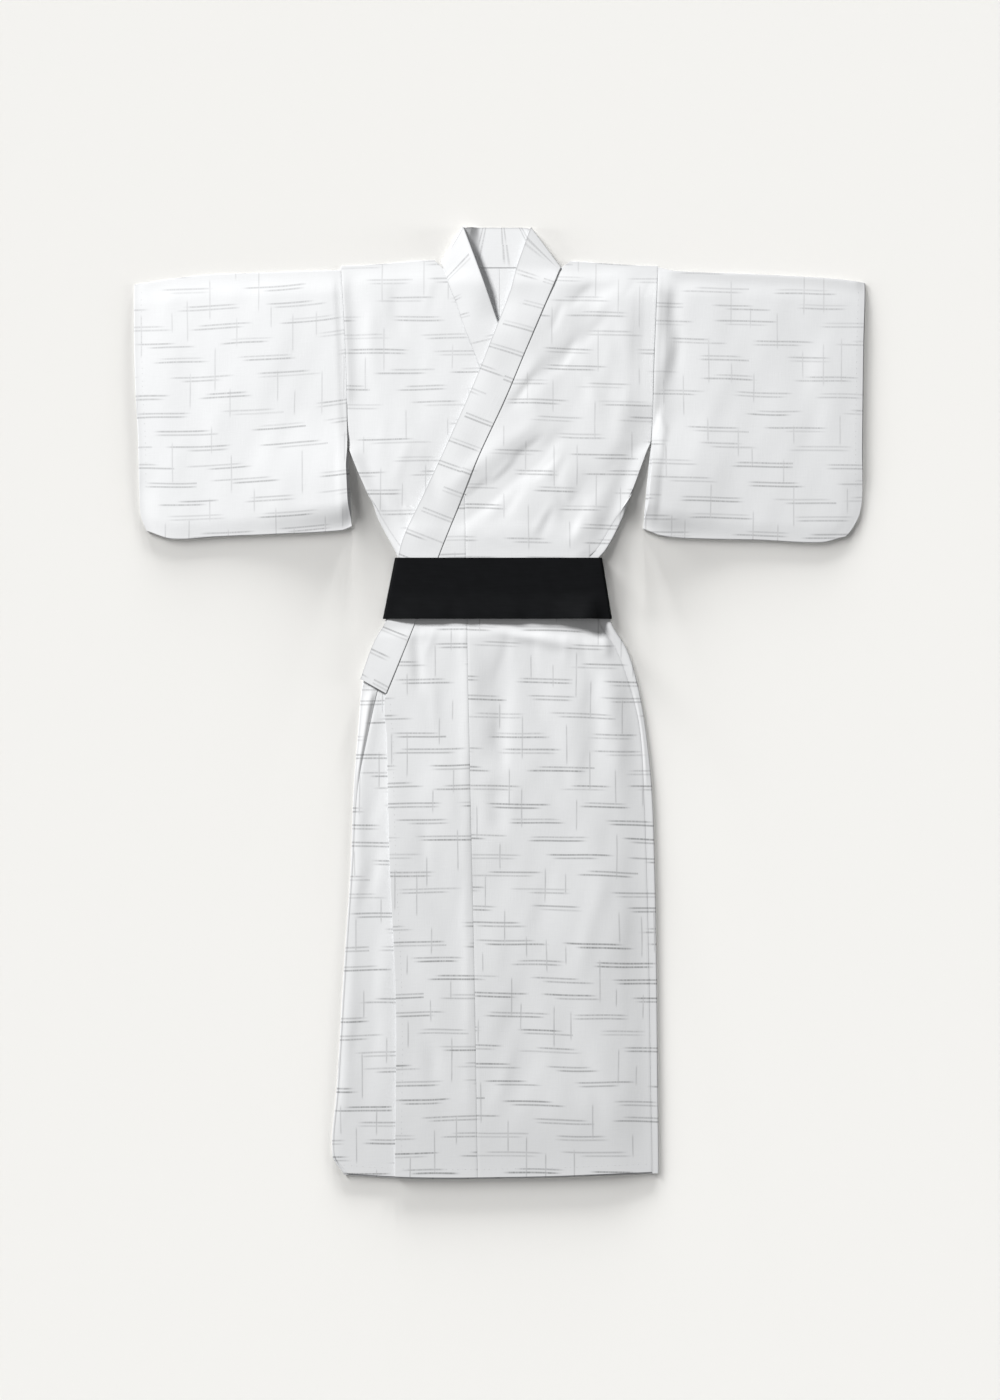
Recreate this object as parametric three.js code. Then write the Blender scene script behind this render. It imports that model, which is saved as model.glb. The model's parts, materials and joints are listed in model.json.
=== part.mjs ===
// A yukata laid flat, face up, with its belt.
//
// Sizes are in millimetres. x runs to the right of the garment as it is seen, so the
// wearer's left is at +x. Heights in the tables are measured up from the hem along y, and
// z rises from the surface that the garment lies on. Every piece of cloth is a thin wall
// made from its middle surface, a grid of points worked out from the tables below.
import * as THREE from 'three';

// ---------------------------------------------------------------- driving sizes

const CLOTH = 1.2; // thickness of the body, sleeves and overlap panels
const COLLAR_CLOTH = 2.0; // the collar band is folded double
const BELT_CLOTH = 1.6;
const SEAM = 0.4; // space left between two pieces at a seam
const CLEAR = 0.3; // least space between layers that lie on each other

const BACK_Z = CLOTH / 2;
const LAYER = 1.8; // from the middle of one layer of cloth to the next
const OVER_COLLAR = COLLAR_CLOTH + CLEAR + 0.1; // from the under front to the top one
const SHOULDER = 1642;
const ARMHOLE_LOW = 1330; // the sleeves are sewn on above this height
const COLLAR_END = 874; // height of the collar's lower ends
const PANEL_TOP = { left: 1232, right: 1210 }; // where the overlap panels run out

const BELT_LOW = 1008;
const BELT_HIGH = 1118;
const BELT_LAP = 30; // half of the lap at the back
const BELT_LIFT = 2 * BELT_CLOTH + 2 * CLEAR; // how far the lapped belt raises the back

// ---------------------------------------------------------------- short tables

// Outer edges of the body, and how far the side seam lies inside each edge. Left and right
// are the wearer's in every name.
const SIDES = columns(['height', 'rightEdge', 'leftEdge', 'rightSeam', 'leftSeam'], [
  [0, -278, 286, 3, 11],
  [34, -300, 286, 3, 11],
  [166, -292, 284.5, 3, 12],
  [398, -278, 282, 3, 13],
  [562, -267, 279, 3, 14],
  [698, -262, 274, 6, 14],
  [814, -253, 262, 19, 10],
  [895, -245, 247, 30, 15],
  [955, -224, 228, 30, 19],
  [1003, -205, 200, 28, 21],
  [1120, -182, 179, 16, 17],
  [1132, -188, 191, 14, 16],
  [1186, -217, 220, 8, 12],
  [1215, -228, 231, 4, 6],
  [1260, -249, 247, 3, 3],
  [1312, -270, 266, 3, 3],
  [ARMHOLE_LOW, -273, 273, 3, 3],
  [1472, -276, 278, 3, 3],
  [1642, -285, 285, 3, 3],
]);

// The hem rises a little towards both sides.
const HEM = columns(['x', 'rise'], [
  [-300, 9], [-190, 2], [-100, 0], [0, 1], [100, 3], [200, 7], [300, 11],
]);

// Where each front meets its overlap panel, and the free edge of each panel.
const OVERLAPS = columns(['height', 'leftSeam', 'leftEdge', 'rightSeam', 'rightEdge'], [
  [0, -39, -188, 36, 183],
  [322, -44, -186.5, 37, 180],
  [556, -49, -197, 38, 174],
  [682, -52, -200.5, 38, 164],
  [790, -54, -202.5, 39, 152],
  [COLLAR_END, -56, -204, 39, 136],
  [1222, -62, -80, 42, 44],
]);

// The collar, from the end on the top front, round the neck, to the hidden end. Each row is
// a section across the band: the edge that is sewn on, then the free edge.
const TOP_COLLAR = columns(['seamX', 'seamHeight', 'freeX', 'freeHeight'], [
  [-204, COLLAR_END, -250, 900],
  [-175.5, 943, -226, 965.5],
  [-151, 1004, -196, 1021],
  [-130.5, 1060, -187, 1082],
  [-109, 1123, -175.5, 1147],
  [-75, 1208, -137, 1231],
  [-39, 1298, -96, 1319],
  [10, 1404, -48, 1427],
  [49.5, 1498, -12, 1517],
  [84, 1579, 19, 1597],
  [100, 1616, 30.5, 1640],
  [107, 1634, 43, 1676],
]);
const BACK_COLLAR = columns(['seamX', 'seamHeight', 'freeX', 'freeHeight'], [
  [87, 1640, 40, 1712],
  [45, 1640, 22, 1712],
  [0, 1640, 0, 1712],
  [-45, 1640, -28, 1712],
  [-82, 1642, -50, 1712],
]);
const UNDER_COLLAR = columns(['seamX', 'seamHeight', 'freeX', 'freeHeight'], [
  [-97, 1631, -54, 1683],
  [-90, 1606, -40.5, 1647],
  [-78, 1577, -24, 1602],
  [-64, 1535, -4.5, 1546],
  [-46, 1489, 12, 1505],
  [-33, 1453, 26, 1471],
  [10, 1330, 69, 1348],
  [42, 1222, 101, 1238],
  [66, 1123, 127, 1138],
  [88, 1006, 148, 1021],
  [136, COLLAR_END, 195, 893],
]);
const RIGHT_FOLD = { seam: [-103, 1645], free: [-64, 1710], out: [-0.86, 0.52] };
const LEFT_FOLD = { seam: [109, 1638], free: [55, 1710], out: [0.8, 0.6] };

// Soft folds, each along a line from one end to the other. A trough has a negative rise.
const FOLD_COLUMNS = ['x1', 'height1', 'x2', 'height2', 'width', 'rise'];
const TOP_FOLDS = columns(FOLD_COLUMNS, [
  [67, 1328, -44, 1235, 18, -3.6],
  [136, 1340, 0, 1150, 22, 3.4],
  [188, 1287, 67, 1139, 18, -3.4],
  [163, 1640, 91, 1492, 20, -4],
  [-30, 990, 165, 955, 13, 4],
  [-148, 985, -144, 890, 14, -2.4],
  [-50, 985, -44, 790, 26, 2.8],
  [165, 940, 150, 750, 30, 2.6],
  [8, 950, 0, 760, 20, -2.4],
  [-100, 760, -70, 560, 30, 1.6],
  [150, 720, 190, 300, 40, 1.4],
]);
const UNDER_FOLDS = columns(FOLD_COLUMNS, [
  [-264, 1600, -262, 1410, 12, 2.6],
  [-181, 1224, -162, 1172, 12, -1.2],
  [-215, 905, -250, 745, 12, 2.2],
  [-225, 700, -240, 300, 26, 1.2],
]);
const RIGHT_SLEEVE_FOLDS = columns(FOLD_COLUMNS, [
  [-420, 1600, -400, 1220, 40, 1.2],
  [-560, 1580, -540, 1250, 34, -1.2],
]);
const LEFT_SLEEVE_FOLDS = columns(FOLD_COLUMNS, [
  [291, 1630, 290, 1410, 12, 4],
  [380, 1600, 372, 1230, 36, 1.2],
  [540, 1580, 560, 1250, 34, -1.2],
]);

// Sleeves: the edge towards the body and the cuff edge by height, and the top fold and the
// bottom by the part of the way out from the body.
const RIGHT_SLEEVE = {
  inner: columns(['height', 'x'], [
    [1170, -265.5], [1287, -271], [ARMHOLE_LOW, -273.8],
  ]),
  outer: columns(['height', 'x'], [
    [1165, -634], [1192, -645], [1235, -648], [1340, -651], [1435, -656], [1598, -658],
    [1620, -655],
  ]),
  top: columns(['part', 'height'], [[0, 1636], [0.4, 1631], [0.7, 1626], [1, 1610]]),
  bottom: columns(['part', 'height'], [
    [0, 1174], [0.05, 1167], [0.4, 1160], [0.65, 1156], [0.88, 1152], [1, 1166],
  ]),
  folds: RIGHT_SLEEVE_FOLDS,
};
const LEFT_SLEEVE = {
  inner: columns(['height', 'x'], [
    [1165, 258], [1237, 264], [1308, 271], [ARMHOLE_LOW, 273.8],
  ]),
  outer: columns(['height', 'x'], [
    [1155, 622], [1171, 635], [1197, 648], [1234, 653], [1339, 654], [1498, 656],
    [1606, 658.6], [1620, 656],
  ]),
  top: columns(['part', 'height'], [[0, 1641], [0.1, 1634], [0.5, 1628], [0.87, 1620], [1, 1613]]),
  bottom: columns(['part', 'height'], [
    [0, 1170], [0.1, 1157], [0.3, 1152], [0.57, 1150], [0.88, 1145.5], [1, 1156],
  ]),
  folds: LEFT_SLEEVE_FOLDS,
};

const FOLD_OUT = 2.2; // how far the collar's folds bulge past their lines
const UNDER_STAND = 13.5; // the under collar's free edge stands up beside the neck
const TOP_STAND = 4; // the top collar stands up beside the neck
const BACK_STAND = 15; // the back of the collar climbs to its turned-over edge
const BELT_FLARE = 11; // the belt's lower edge stands off the skirt
const SLEEVE_GAPE = 12; // the sleeve's open edge beside the body
const SIDE_ROLL = 5; // the body's side edge is rolled up below the armhole

// Grid steps
const NECK_ROW = 1631;
const BACK_ROWS = [0, 40, 150, 280, 420, 560, 680, 780, 860, 925, 965, 982, 1003, 1060, 1121, 1145,
  1185, 1225, 1265, 1310, 1400, 1480];
const FRONT_ROWS = [1616, 1590, 1550, 1495, 1440, 1385, 1330, 1285, PANEL_TOP.left, PANEL_TOP.right,
  1170, 1145, 1121, 1060, 1003, 982, 955, 920, COLLAR_END, 820, 750, 670, 570, 460, 340, 200, 80, 0];

// ---------------------------------------------------------------- helpers

// Gives a table its column names.
function columns(names, rows) {
  return rows.map((row) => Object.fromEntries(names.map((name, i) => [name, row[i]])));
}

function mix(a, b, t) {
  return a + (b - a) * t;
}

// Goes smoothly from 0 at start to 1 at end. start may be the larger.
function ease(start, end, value) {
  const t = THREE.MathUtils.clamp((value - start) / (end - start), 0, 1);
  return t * t * (3 - 2 * t);
}

// A smooth curve through one column of a table: a cubic between neighbouring rows.
function along(table, key, column, at) {
  const last = table.length - 1;
  if (at <= table[0][key]) return table[0][column];
  if (at >= table[last][key]) return table[last][column];
  const i = table.findIndex((row) => row[key] > at) - 1;
  const slope = (j) => {
    const a = table[Math.max(j - 1, 0)];
    const b = table[Math.min(j + 1, last)];
    return (b[column] - a[column]) / (b[key] - a[key]);
  };
  const low = table[i];
  const high = table[i + 1];
  const span = high[key] - low[key];
  const t = (at - low[key]) / span;
  const t2 = t * t;
  const t3 = t2 * t;
  return low[column] * (2 * t3 - 3 * t2 + 1) + high[column] * (3 * t2 - 2 * t3)
    + span * (slope(i) * (t3 - 2 * t2 + t) + slope(i + 1) * (t3 - t2));
}

// The height that soft folds add at a point.
function foldRise(folds, x, height) {
  let sum = 0;
  for (const fold of folds) {
    const dx = fold.x2 - fold.x1;
    const dy = fold.height2 - fold.height1;
    const length = Math.hypot(dx, dy);
    const run = ((x - fold.x1) * dx + (height - fold.height1) * dy) / length;
    const off = ((height - fold.height1) * dx - (x - fold.x1) * dy) / length;
    const fade = 0.3 * length;
    const ends = ease(-fade, fade, run) * ease(-fade, fade, length - run);
    sum += fold.rise * ends * Math.exp(-((off / fold.width) ** 2));
  }
  return sum;
}

// A closed wall round a middle surface, given as rows of points. A ring's rows close on
// themselves.
function wall(rows, thickness, ring = false) {
  const across = rows[0].length;
  const pick = (i, j) => rows[THREE.MathUtils.clamp(i, 0, rows.length - 1)][
    ring ? (j + across) % across : THREE.MathUtils.clamp(j, 0, across - 1)];
  const positions = [];
  for (const side of [0.5, -0.5]) {
    rows.forEach((row, i) => row.forEach((point, j) => {
      const length = pick(i + 1, j).clone().sub(pick(i - 1, j));
      const width = pick(i, j + 1).clone().sub(pick(i, j - 1));
      const normal = width.cross(length).normalize();
      const moved = point.clone().addScaledVector(normal, side * thickness);
      positions.push(moved.x, moved.y, moved.z);
    }));
  }
  const index = [];
  const count = rows.length * across;
  const quad = (a, b, c, d) => index.push(a, b, c, a, c, d);
  const steps = ring ? across : across - 1;
  for (let i = 0; i + 1 < rows.length; i += 1) {
    for (let j = 0; j < steps; j += 1) {
      const a = i * across + j;
      const b = i * across + ((j + 1) % across);
      quad(a, b, b + across, a + across);
      quad(count + a, count + a + across, count + b + across, count + b);
    }
  }
  for (let j = 0; j < steps; j += 1) {
    const next = (j + 1) % across;
    const top = (rows.length - 1) * across;
    quad(j, count + j, count + next, next);
    quad(top + j, top + next, count + top + next, count + top + j);
  }
  for (let i = 0; i + 1 < rows.length && !ring; i += 1) {
    const a = i * across;
    const b = a + across - 1;
    quad(a, a + across, count + a + across, count + a);
    quad(b, count + b, count + b + across, b + across);
  }
  const geometry = new THREE.BufferGeometry();
  geometry.setAttribute('position', new THREE.Float32BufferAttribute(positions, 3));
  geometry.setIndex(index);
  geometry.computeVertexNormals();
  return geometry;
}

// ---------------------------------------------------------------- how the layers lie

// How far the lapped belt under the back raises the garment near the waist.
function beltLift(height) {
  return BELT_LIFT * ease(BELT_LOW - 28, BELT_LOW - 2, height)
    * (1 - ease(BELT_HIGH + 8, BELT_HIGH + 70, height));
}

function backZ(height) {
  return BACK_Z + beltLift(height);
}

// Cloth lies loose away from the belt, the hem and the shoulder.
function looseness(height) {
  const belt = ease(BELT_LOW - 5, BELT_LOW - 34, height) + ease(BELT_HIGH + 6, BELT_HIGH + 60, height);
  return belt * ease(0, 60, height) * (1 - ease(SHOULDER - 34, SHOULDER, height));
}

// The collar stands up a little round the neck.
function neckRise(x, height) {
  return 2.6 * (1 - ease(110, 190, Math.hypot(x, height - SHOULDER)));
}

// The body's side edge is rolled up a little below the armhole.
function sideRoll(fromEdge, height) {
  return SIDE_ROLL * Math.exp(-((fromEdge / 12) ** 2)) * ease(1150, 1200, height)
    * ease(ARMHOLE_LOW, ARMHOLE_LOW - 30, height);
}

// Middle of the under front, the wearer's right.
function underZ(x, height) {
  const edge = along(SIDES, 'height', 'rightEdge', height);
  const puff = 1.8 * ease(8, 60, x - edge) + foldRise(UNDER_FOLDS, x, height);
  const loose = Math.max(0, puff) * looseness(height) + sideRoll(x - edge, height);
  return backZ(height) + LAYER + neckRise(x, height) + loose;
}

// Middle of the top front, the wearer's left.
function topZ(x, height) {
  const fromEdge = along(SIDES, 'height', 'leftEdge', height) - x;
  const step = OVER_COLLAR * ease(6, 46, fromEdge) * ease(SHOULDER, SHOULDER - 90, height);
  const puff = 2.6 * ease(20, 70, fromEdge) + foldRise(TOP_FOLDS, x, height);
  const inside = ease(20, 60, fromEdge);
  const under = mix(backZ(height) + LAYER + neckRise(x, height), underZ(x, height), inside);
  const loose = Math.max(0, puff) * looseness(height) * ease(0, 30, fromEdge);
  return under + step + loose + sideRoll(fromEdge, height);
}

// The section across the collar on one front whose seam is at a height.
function collarAt(side, height) {
  const table = side < 0 ? [...UNDER_COLLAR].reverse() : TOP_COLLAR;
  const read = (column) => along(table, 'seamHeight', column, height);
  return {
    seam: new THREE.Vector2(read('seamX'), height),
    free: new THREE.Vector2(read('freeX'), read('freeHeight')),
  };
}

// The hem's rise, which fades out up the skirt.
function hemmed(x, height, tuck = 0) {
  return height + (along(HEM, 'x', 'rise', x) + tuck) * (1 - ease(0, 160, height));
}

// ---------------------------------------------------------------- body

// One half of the body: from the back hem over the shoulder to the front hem. side is -1
// for the wearer's right and 1 for the wearer's left.
function bodyHalf(side) {
  const edgeColumn = side < 0 ? 'rightEdge' : 'leftEdge';
  const seamColumn = side < 0 ? 'rightSeam' : 'leftSeam';
  const frontZ = side < 0 ? underZ : topZ;
  const panelSeam = side < 0 ? 'rightSeam' : 'leftSeam';
  const panelTop = side < 0 ? PANEL_TOP.right : PANEL_TOP.left;
  const neck = side < 0 ? [-116, 1651] : [126, 1649];
  const flatSteps = 7;
  const curlSteps = 3;
  const flapSteps = 1;
  const rows = [];

  // The back's edge curls over onto the front below the armhole.
  const backRow = (inner, outerHeight) => {
    const edge = along(SIDES, 'height', edgeColumn, outerHeight);
    const seam = along(SIDES, 'height', seamColumn, outerHeight);
    const curl = Math.PI * (1 - ease(1195, 1255, outerHeight));
    const curlRadius = (frontZ(edge - side * seam, outerHeight) - backZ(outerHeight)) / 2;
    const arc = Math.PI * curlRadius;
    const flap = Math.max(seam - curlRadius - SEAM / 2, 1);
    const reach = mix(arc + flap, curlRadius, curl / Math.PI);
    const z = backZ(outerHeight);
    const start = Math.abs(edge) - reach;
    const row = [];
    for (let j = 0; j <= flatSteps; j += 1) {
      const x = mix(inner[0], side * start, j / flatSteps);
      const y = mix(inner[1], outerHeight, j / flatSteps);
      row.push(new THREE.Vector3(x, hemmed(x, y), backZ(y)));
    }
    let x = start;
    let up = z;
    for (let j = 1; j <= curlSteps; j += 1) {
      const angle = curl * (j - 0.5) / curlSteps;
      x += Math.cos(angle) * arc / curlSteps;
      up += Math.sin(angle) * arc / curlSteps;
      row.push(new THREE.Vector3(side * x, hemmed(side * x, outerHeight), up));
    }
    for (let j = 1; j <= flapSteps; j += 1) {
      const far = x + Math.cos(curl) * flap * j / flapSteps;
      const high = up + Math.sin(curl) * flap * j / flapSteps;
      row.push(new THREE.Vector3(side * far, hemmed(side * far, outerHeight), high));
    }
    return row;
  };
  const middle = side * SEAM / 2;
  for (const height of BACK_ROWS) rows.push(backRow([middle, height], height));
  rows.push(backRow([middle, 1560], 1540));
  rows.push(backRow([middle, 1640 - SEAM], 1585));
  rows.push(backRow([side * 70, 1640 - 2 * SEAM], 1615));
  rows.push(backRow([neck[0] - side * 14, neck[1] - 14], 1628));
  rows.push(backRow([neck[0], neck[1] - 6], SHOULDER - 3));

  // Over the shoulder.
  const steps = flatSteps + curlSteps + flapSteps;
  const shoulderX = along(SIDES, 'height', edgeColumn, SHOULDER);
  const foldRow = (angle) => {
    const row = [];
    for (let j = 0; j <= steps; j += 1) {
      const x = mix(neck[0], shoulderX, j / steps);
      const y = mix(neck[1], SHOULDER, ease(0, 1, j / steps));
      const radius = (frontZ(x, y) - BACK_Z) / 2;
      row.push(new THREE.Vector3(x, y + Math.sin(angle) * radius, BACK_Z + radius * (1 - Math.cos(angle))));
    }
    return row;
  };
  for (const angle of [0.25, 0.5, 0.75]) rows.push(foldRow(angle * Math.PI));

  // Down the front. Its inner edge follows the collar, then the overlap panel's seam.
  const frontRow = (innerX, innerHeight, outerHeight) => {
    const edge = along(SIDES, 'height', edgeColumn, outerHeight);
    const seam = along(SIDES, 'height', seamColumn, outerHeight);
    const sewn = 1 - ease(1195, 1255, outerHeight);
    const outer = edge - side * mix(0, seam + SEAM / 2, sewn);
    const row = [];
    for (let j = 0; j <= steps; j += 1) {
      const x = mix(innerX, outer, j / steps);
      const y = mix(innerHeight, outerHeight, j / steps);
      row.push(new THREE.Vector3(x, hemmed(x, y, 3), frontZ(x, y)));
    }
    return row;
  };
  const collarX = (height) => collarAt(side, height).seam.x + side * SEAM;
  rows.push(frontRow(collarX(1630) + side * 4, 1632, 1628));
  for (const height of FRONT_ROWS) {
    if (height === panelTop) rows.push(frontRow(collarX(height), height + SEAM, height + SEAM));
    const panelX = along(OVERLAPS, 'height', panelSeam, height);
    rows.push(frontRow(height > panelTop ? collarX(height) : panelX, height, height));
  }
  return wall(rows, CLOTH);
}

// ---------------------------------------------------------------- overlap panels

// A long panel, straight at the front's seam and cut off along the collar at the top.
function overlapPanel(side) {
  const seamColumn = side < 0 ? 'rightSeam' : 'leftSeam';
  const edgeColumn = side < 0 ? 'rightEdge' : 'leftEdge';
  const frontZ = side < 0 ? underZ : topZ;
  const top = side < 0 ? PANEL_TOP.right : PANEL_TOP.left;
  const steps = 6;
  const rows = FRONT_ROWS.filter((height) => height <= top).map((height) => {
    const seam = along(OVERLAPS, 'height', seamColumn, height) - side * SEAM;
    const collarX = collarAt(side, height).seam.x + side * SEAM;
    const edge = height >= COLLAR_END ? collarX : along(OVERLAPS, 'height', edgeColumn, height);
    const row = [];
    for (let j = 0; j <= steps; j += 1) {
      const x = mix(seam, edge, j / steps);
      row.push(new THREE.Vector3(x, hemmed(x, height, 3), frontZ(x, height)));
    }
    return row;
  });
  return wall(rows, CLOTH);
}

// ---------------------------------------------------------------- sleeves

// A sleeve is one cloth folded at the top, closed along the bottom and at the lower cuff.
function sleeve(shape, side) {
  const stationParts = [0, 0.045, 0.1, 0.18, 0.28, 0.38, 0.49, 0.6, 0.71, 0.82, 0.91, 1];
  const layerSteps = 9;
  const curlSteps = 4;
  const mouth = 1250; // the cuff is open above this height
  const rows = [];
  for (const part of stationParts) {
    const top = along(shape.top, 'part', 'height', part);
    const bottom = along(shape.bottom, 'part', 'height', part);
    const armhole = (height) => along(SIDES, 'height', side < 0 ? 'rightEdge' : 'leftEdge', height)
      + side * 2 * SEAM;
    const innerX = (height) => height >= ARMHOLE_LOW ? armhole(height)
      : along(shape.inner, 'height', 'x', height);
    const place = (height) => mix(innerX(height), along(shape.outer, 'height', 'x', height), part);
    const frontZ = (height) => {
      const x = place(height);
      const ends = ease(bottom - 5, bottom + 34, height) * ease(top, top - 45, height);
      const inner = ease(0, 0.045, part);
      const closed = mix(ease(1, 0.9, part), 1, ease(mouth - 20, mouth + 30, height));
      const cuff = mix(0.55, 1, ease(1, 0.8, part)) * closed;
      const puff = Math.max(0, 2.6 + foldRise(shape.folds, x, height));
      const pressed = (LAYER - CLOTH - CLEAR) * ease(0.9, 1, part) * ease(mouth + 30, mouth - 20, height);
      const gape = SLEEVE_GAPE * ease(0.1, 0, part) * ease(bottom + 10, bottom + 60, height)
        * ease(ARMHOLE_LOW, ARMHOLE_LOW - 50, height);
      return BACK_Z + LAYER - pressed + puff * ends * inner * cuff + gape;
    };
    const row = [];
    const radiusLow = (frontZ(bottom) - BACK_Z) / 2;
    const radiusHigh = (frontZ(top) - BACK_Z) / 2;
    const low = bottom + radiusLow + CLOTH / 2;
    const high = top - radiusHigh - CLOTH / 2;
    for (let j = 0; j <= layerSteps; j += 1) {
      const y = mix(low, high, j / layerSteps);
      row.push(new THREE.Vector3(place(y), y, BACK_Z));
    }
    for (let j = 1; j < curlSteps; j += 1) {
      const angle = Math.PI * j / curlSteps;
      row.push(new THREE.Vector3(
        place(top), high + radiusHigh * Math.sin(angle), BACK_Z + radiusHigh * (1 - Math.cos(angle))));
    }
    for (let j = layerSteps; j >= 0; j -= 1) {
      const y = mix(low, high, j / layerSteps);
      const cuffTuck = side * 1.5 * ease(0.8, 1, part) * ease(mouth - 30, mouth + 60, y);
      const innerTuck = side * 5 * ease(0.2, 0, part) * ease(low, low + 50, y)
        * ease(ARMHOLE_LOW, ARMHOLE_LOW - 50, y);
      row.push(new THREE.Vector3(place(y) - cuffTuck + innerTuck, y, frontZ(y)));
    }
    for (let j = 1; j < curlSteps; j += 1) {
      const angle = Math.PI * j / curlSteps;
      row.push(new THREE.Vector3(
        place(bottom), low - radiusLow * Math.sin(angle), BACK_Z + radiusLow * (1 + Math.cos(angle))));
    }
    rows.push(row);
  }
  return wall(rows, CLOTH, true);
}

// ---------------------------------------------------------------- collar

// The band runs up one front, turns over at the neck, crosses the back and comes down the
// other front.
function collarBand() {
  const across = 4;
  const raise = (COLLAR_CLOTH - CLOTH) / 2;
  const backZ = COLLAR_CLOTH / 2;
  const rows = [];
  // The under collar stands up towards its free edge, the top one all across.
  const underDepth = (x, y, part) => underZ(x, y) + raise + UNDER_STAND * ease(1540, 1650, y) * part ** 1.3;
  const topDepth = (x, y, part) => topZ(x, y) + raise + TOP_STAND * ease(1570, 1640, y) * (0.4 + 0.6 * part);
  const backDepth = (x, y, part) => backZ + BACK_STAND * ease(-34, -62, x) * part;
  const addRow = (seam, free, depth) => {
    const row = [];
    for (let j = 0; j <= across; j += 1) {
      const at = seam.clone().lerp(free, j / across);
      row.push(new THREE.Vector3(at.x, at.y, depth(at.x, at.y, j / across)));
    }
    rows.push(row);
  };
  const addFold = (fold, frontDepth, parts) => {
    for (const part of parts) {
      const angle = part * Math.PI;
      const out = new THREE.Vector2(...fold.out).multiplyScalar(FOLD_OUT * Math.sin(angle));
      const depth = (...at) => mix(backDepth(...at), frontDepth(...at), (1 - Math.cos(angle)) / 2);
      addRow(new THREE.Vector2(...fold.seam).add(out), new THREE.Vector2(...fold.free).add(out), depth);
    }
  };
  const onFront = (side, depth, heights) => {
    for (const height of heights) {
      const section = collarAt(side, height);
      addRow(section.seam, section.free, depth);
    }
  };
  const heights = [NECK_ROW, ...FRONT_ROWS].filter((height) => height >= COLLAR_END);
  onFront(1, topDepth, [...heights].reverse());
  addFold(LEFT_FOLD, topDepth, [0.85, 0.5, 0.15]);
  for (const row of BACK_COLLAR) {
    addRow(new THREE.Vector2(row.seamX, row.seamHeight), new THREE.Vector2(row.freeX, row.freeHeight),
      backDepth);
  }
  addFold(RIGHT_FOLD, underDepth, [0.15, 0.5, 0.85]);
  onFront(-1, underDepth, heights);
  return wall(rows, COLLAR_CLOTH);
}

// ---------------------------------------------------------------- belt

// The belt goes once round the waist, and its ends lap at the back.
function belt() {
  const floor = BELT_CLOTH / 2;
  const lapZ = floor + BELT_CLOTH + CLEAR;
  const frontZ = BACK_Z + BELT_LIFT + LAYER + OVER_COLLAR + COLLAR_CLOTH - CLOTH / 2 + CLEAR + floor;
  const radius = (frontZ - floor) / 2;
  const centreZ = floor + radius;
  const sides = { low: [-210, 202.5], high: [-188, 184.5] };
  const turns = [1, 2, 3, 4, 5].map((k) => Math.PI * k / 6);
  const section = (part) => {
    const y = mix(BELT_LOW, BELT_HIGH, part);
    const start = mix(sides.low[0], sides.high[0], part) + radius + floor;
    const end = mix(sides.low[1], sides.high[1], part) - radius - floor;
    const row = [];
    const add = (x, z) => row.push(new THREE.Vector3(x, y, z));
    for (const x of [-BELT_LAP, 0, BELT_LAP + 5]) add(x, lapZ);
    for (const x of [BELT_LAP + 35, 110, end]) add(x, floor);
    for (const turn of turns) add(end + radius * Math.sin(turn), centreZ - radius * Math.cos(turn));
    for (const run of [0, 0.14, 0.28, 0.42, 0.56, 0.7, 0.86, 1]) {
      const ends = ease(0, 0.2, run) * ease(1, 0.86, run) * mix(0.35, 1, ease(1, 0.45, run));
      add(mix(end, start, run), frontZ + BELT_FLARE * ease(0.45, 0, part) * ends);
    }
    for (const turn of turns) add(start - radius * Math.sin(turn), centreZ + radius * Math.cos(turn));
    for (const x of [start, -90, BELT_LAP]) add(x, floor);
    return row;
  };
  return wall([0, 0.11, 0.22, 0.33, 0.45, 0.72, 1].map(section), BELT_CLOTH);
}

// ---------------------------------------------------------------- the part

const cotton = new THREE.MeshStandardMaterial({ color: 0xf1f2f1, roughness: 0.9, metalness: 0 });
const black = new THREE.MeshStandardMaterial({ color: 0x17181a, roughness: 0.75, metalness: 0 });

const garment = new THREE.Group();
function sew(name, geometry, material) {
  const mesh = new THREE.Mesh(geometry, material);
  mesh.name = name;
  garment.add(mesh);
}

sew('body_left', bodyHalf(1), cotton);
sew('body_right', bodyHalf(-1), cotton);
sew('overlap_left', overlapPanel(1), cotton);
sew('overlap_right', overlapPanel(-1), cotton);
sew('sleeve_left', sleeve(LEFT_SLEEVE, 1), cotton);
sew('sleeve_right', sleeve(RIGHT_SLEEVE, -1), cotton);
sew('collar', collarBand(), cotton);
sew('belt', belt(), black);

// The origin is at the middle of the underside.
const box = new THREE.Box3().setFromObject(garment);
const centre = box.getCenter(new THREE.Vector3());
garment.position.set(-centre.x, -centre.y, -box.min.z);

const group = new THREE.Group();
group.add(garment);

export default group;
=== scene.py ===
"""A yukata that lies flat, face up, closed left over right by a flat black belt.

Tables and cloth sizes are in millimetres: x to the right as the garment is seen, height up
from the hem, and z up from the surface. Left and right in names are the wearer's. Each
piece is a thin wall round a middle surface, a grid of points worked out from two
parameters, and its UV map holds the flat cloth in metres, across and along the warp.
"""

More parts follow.
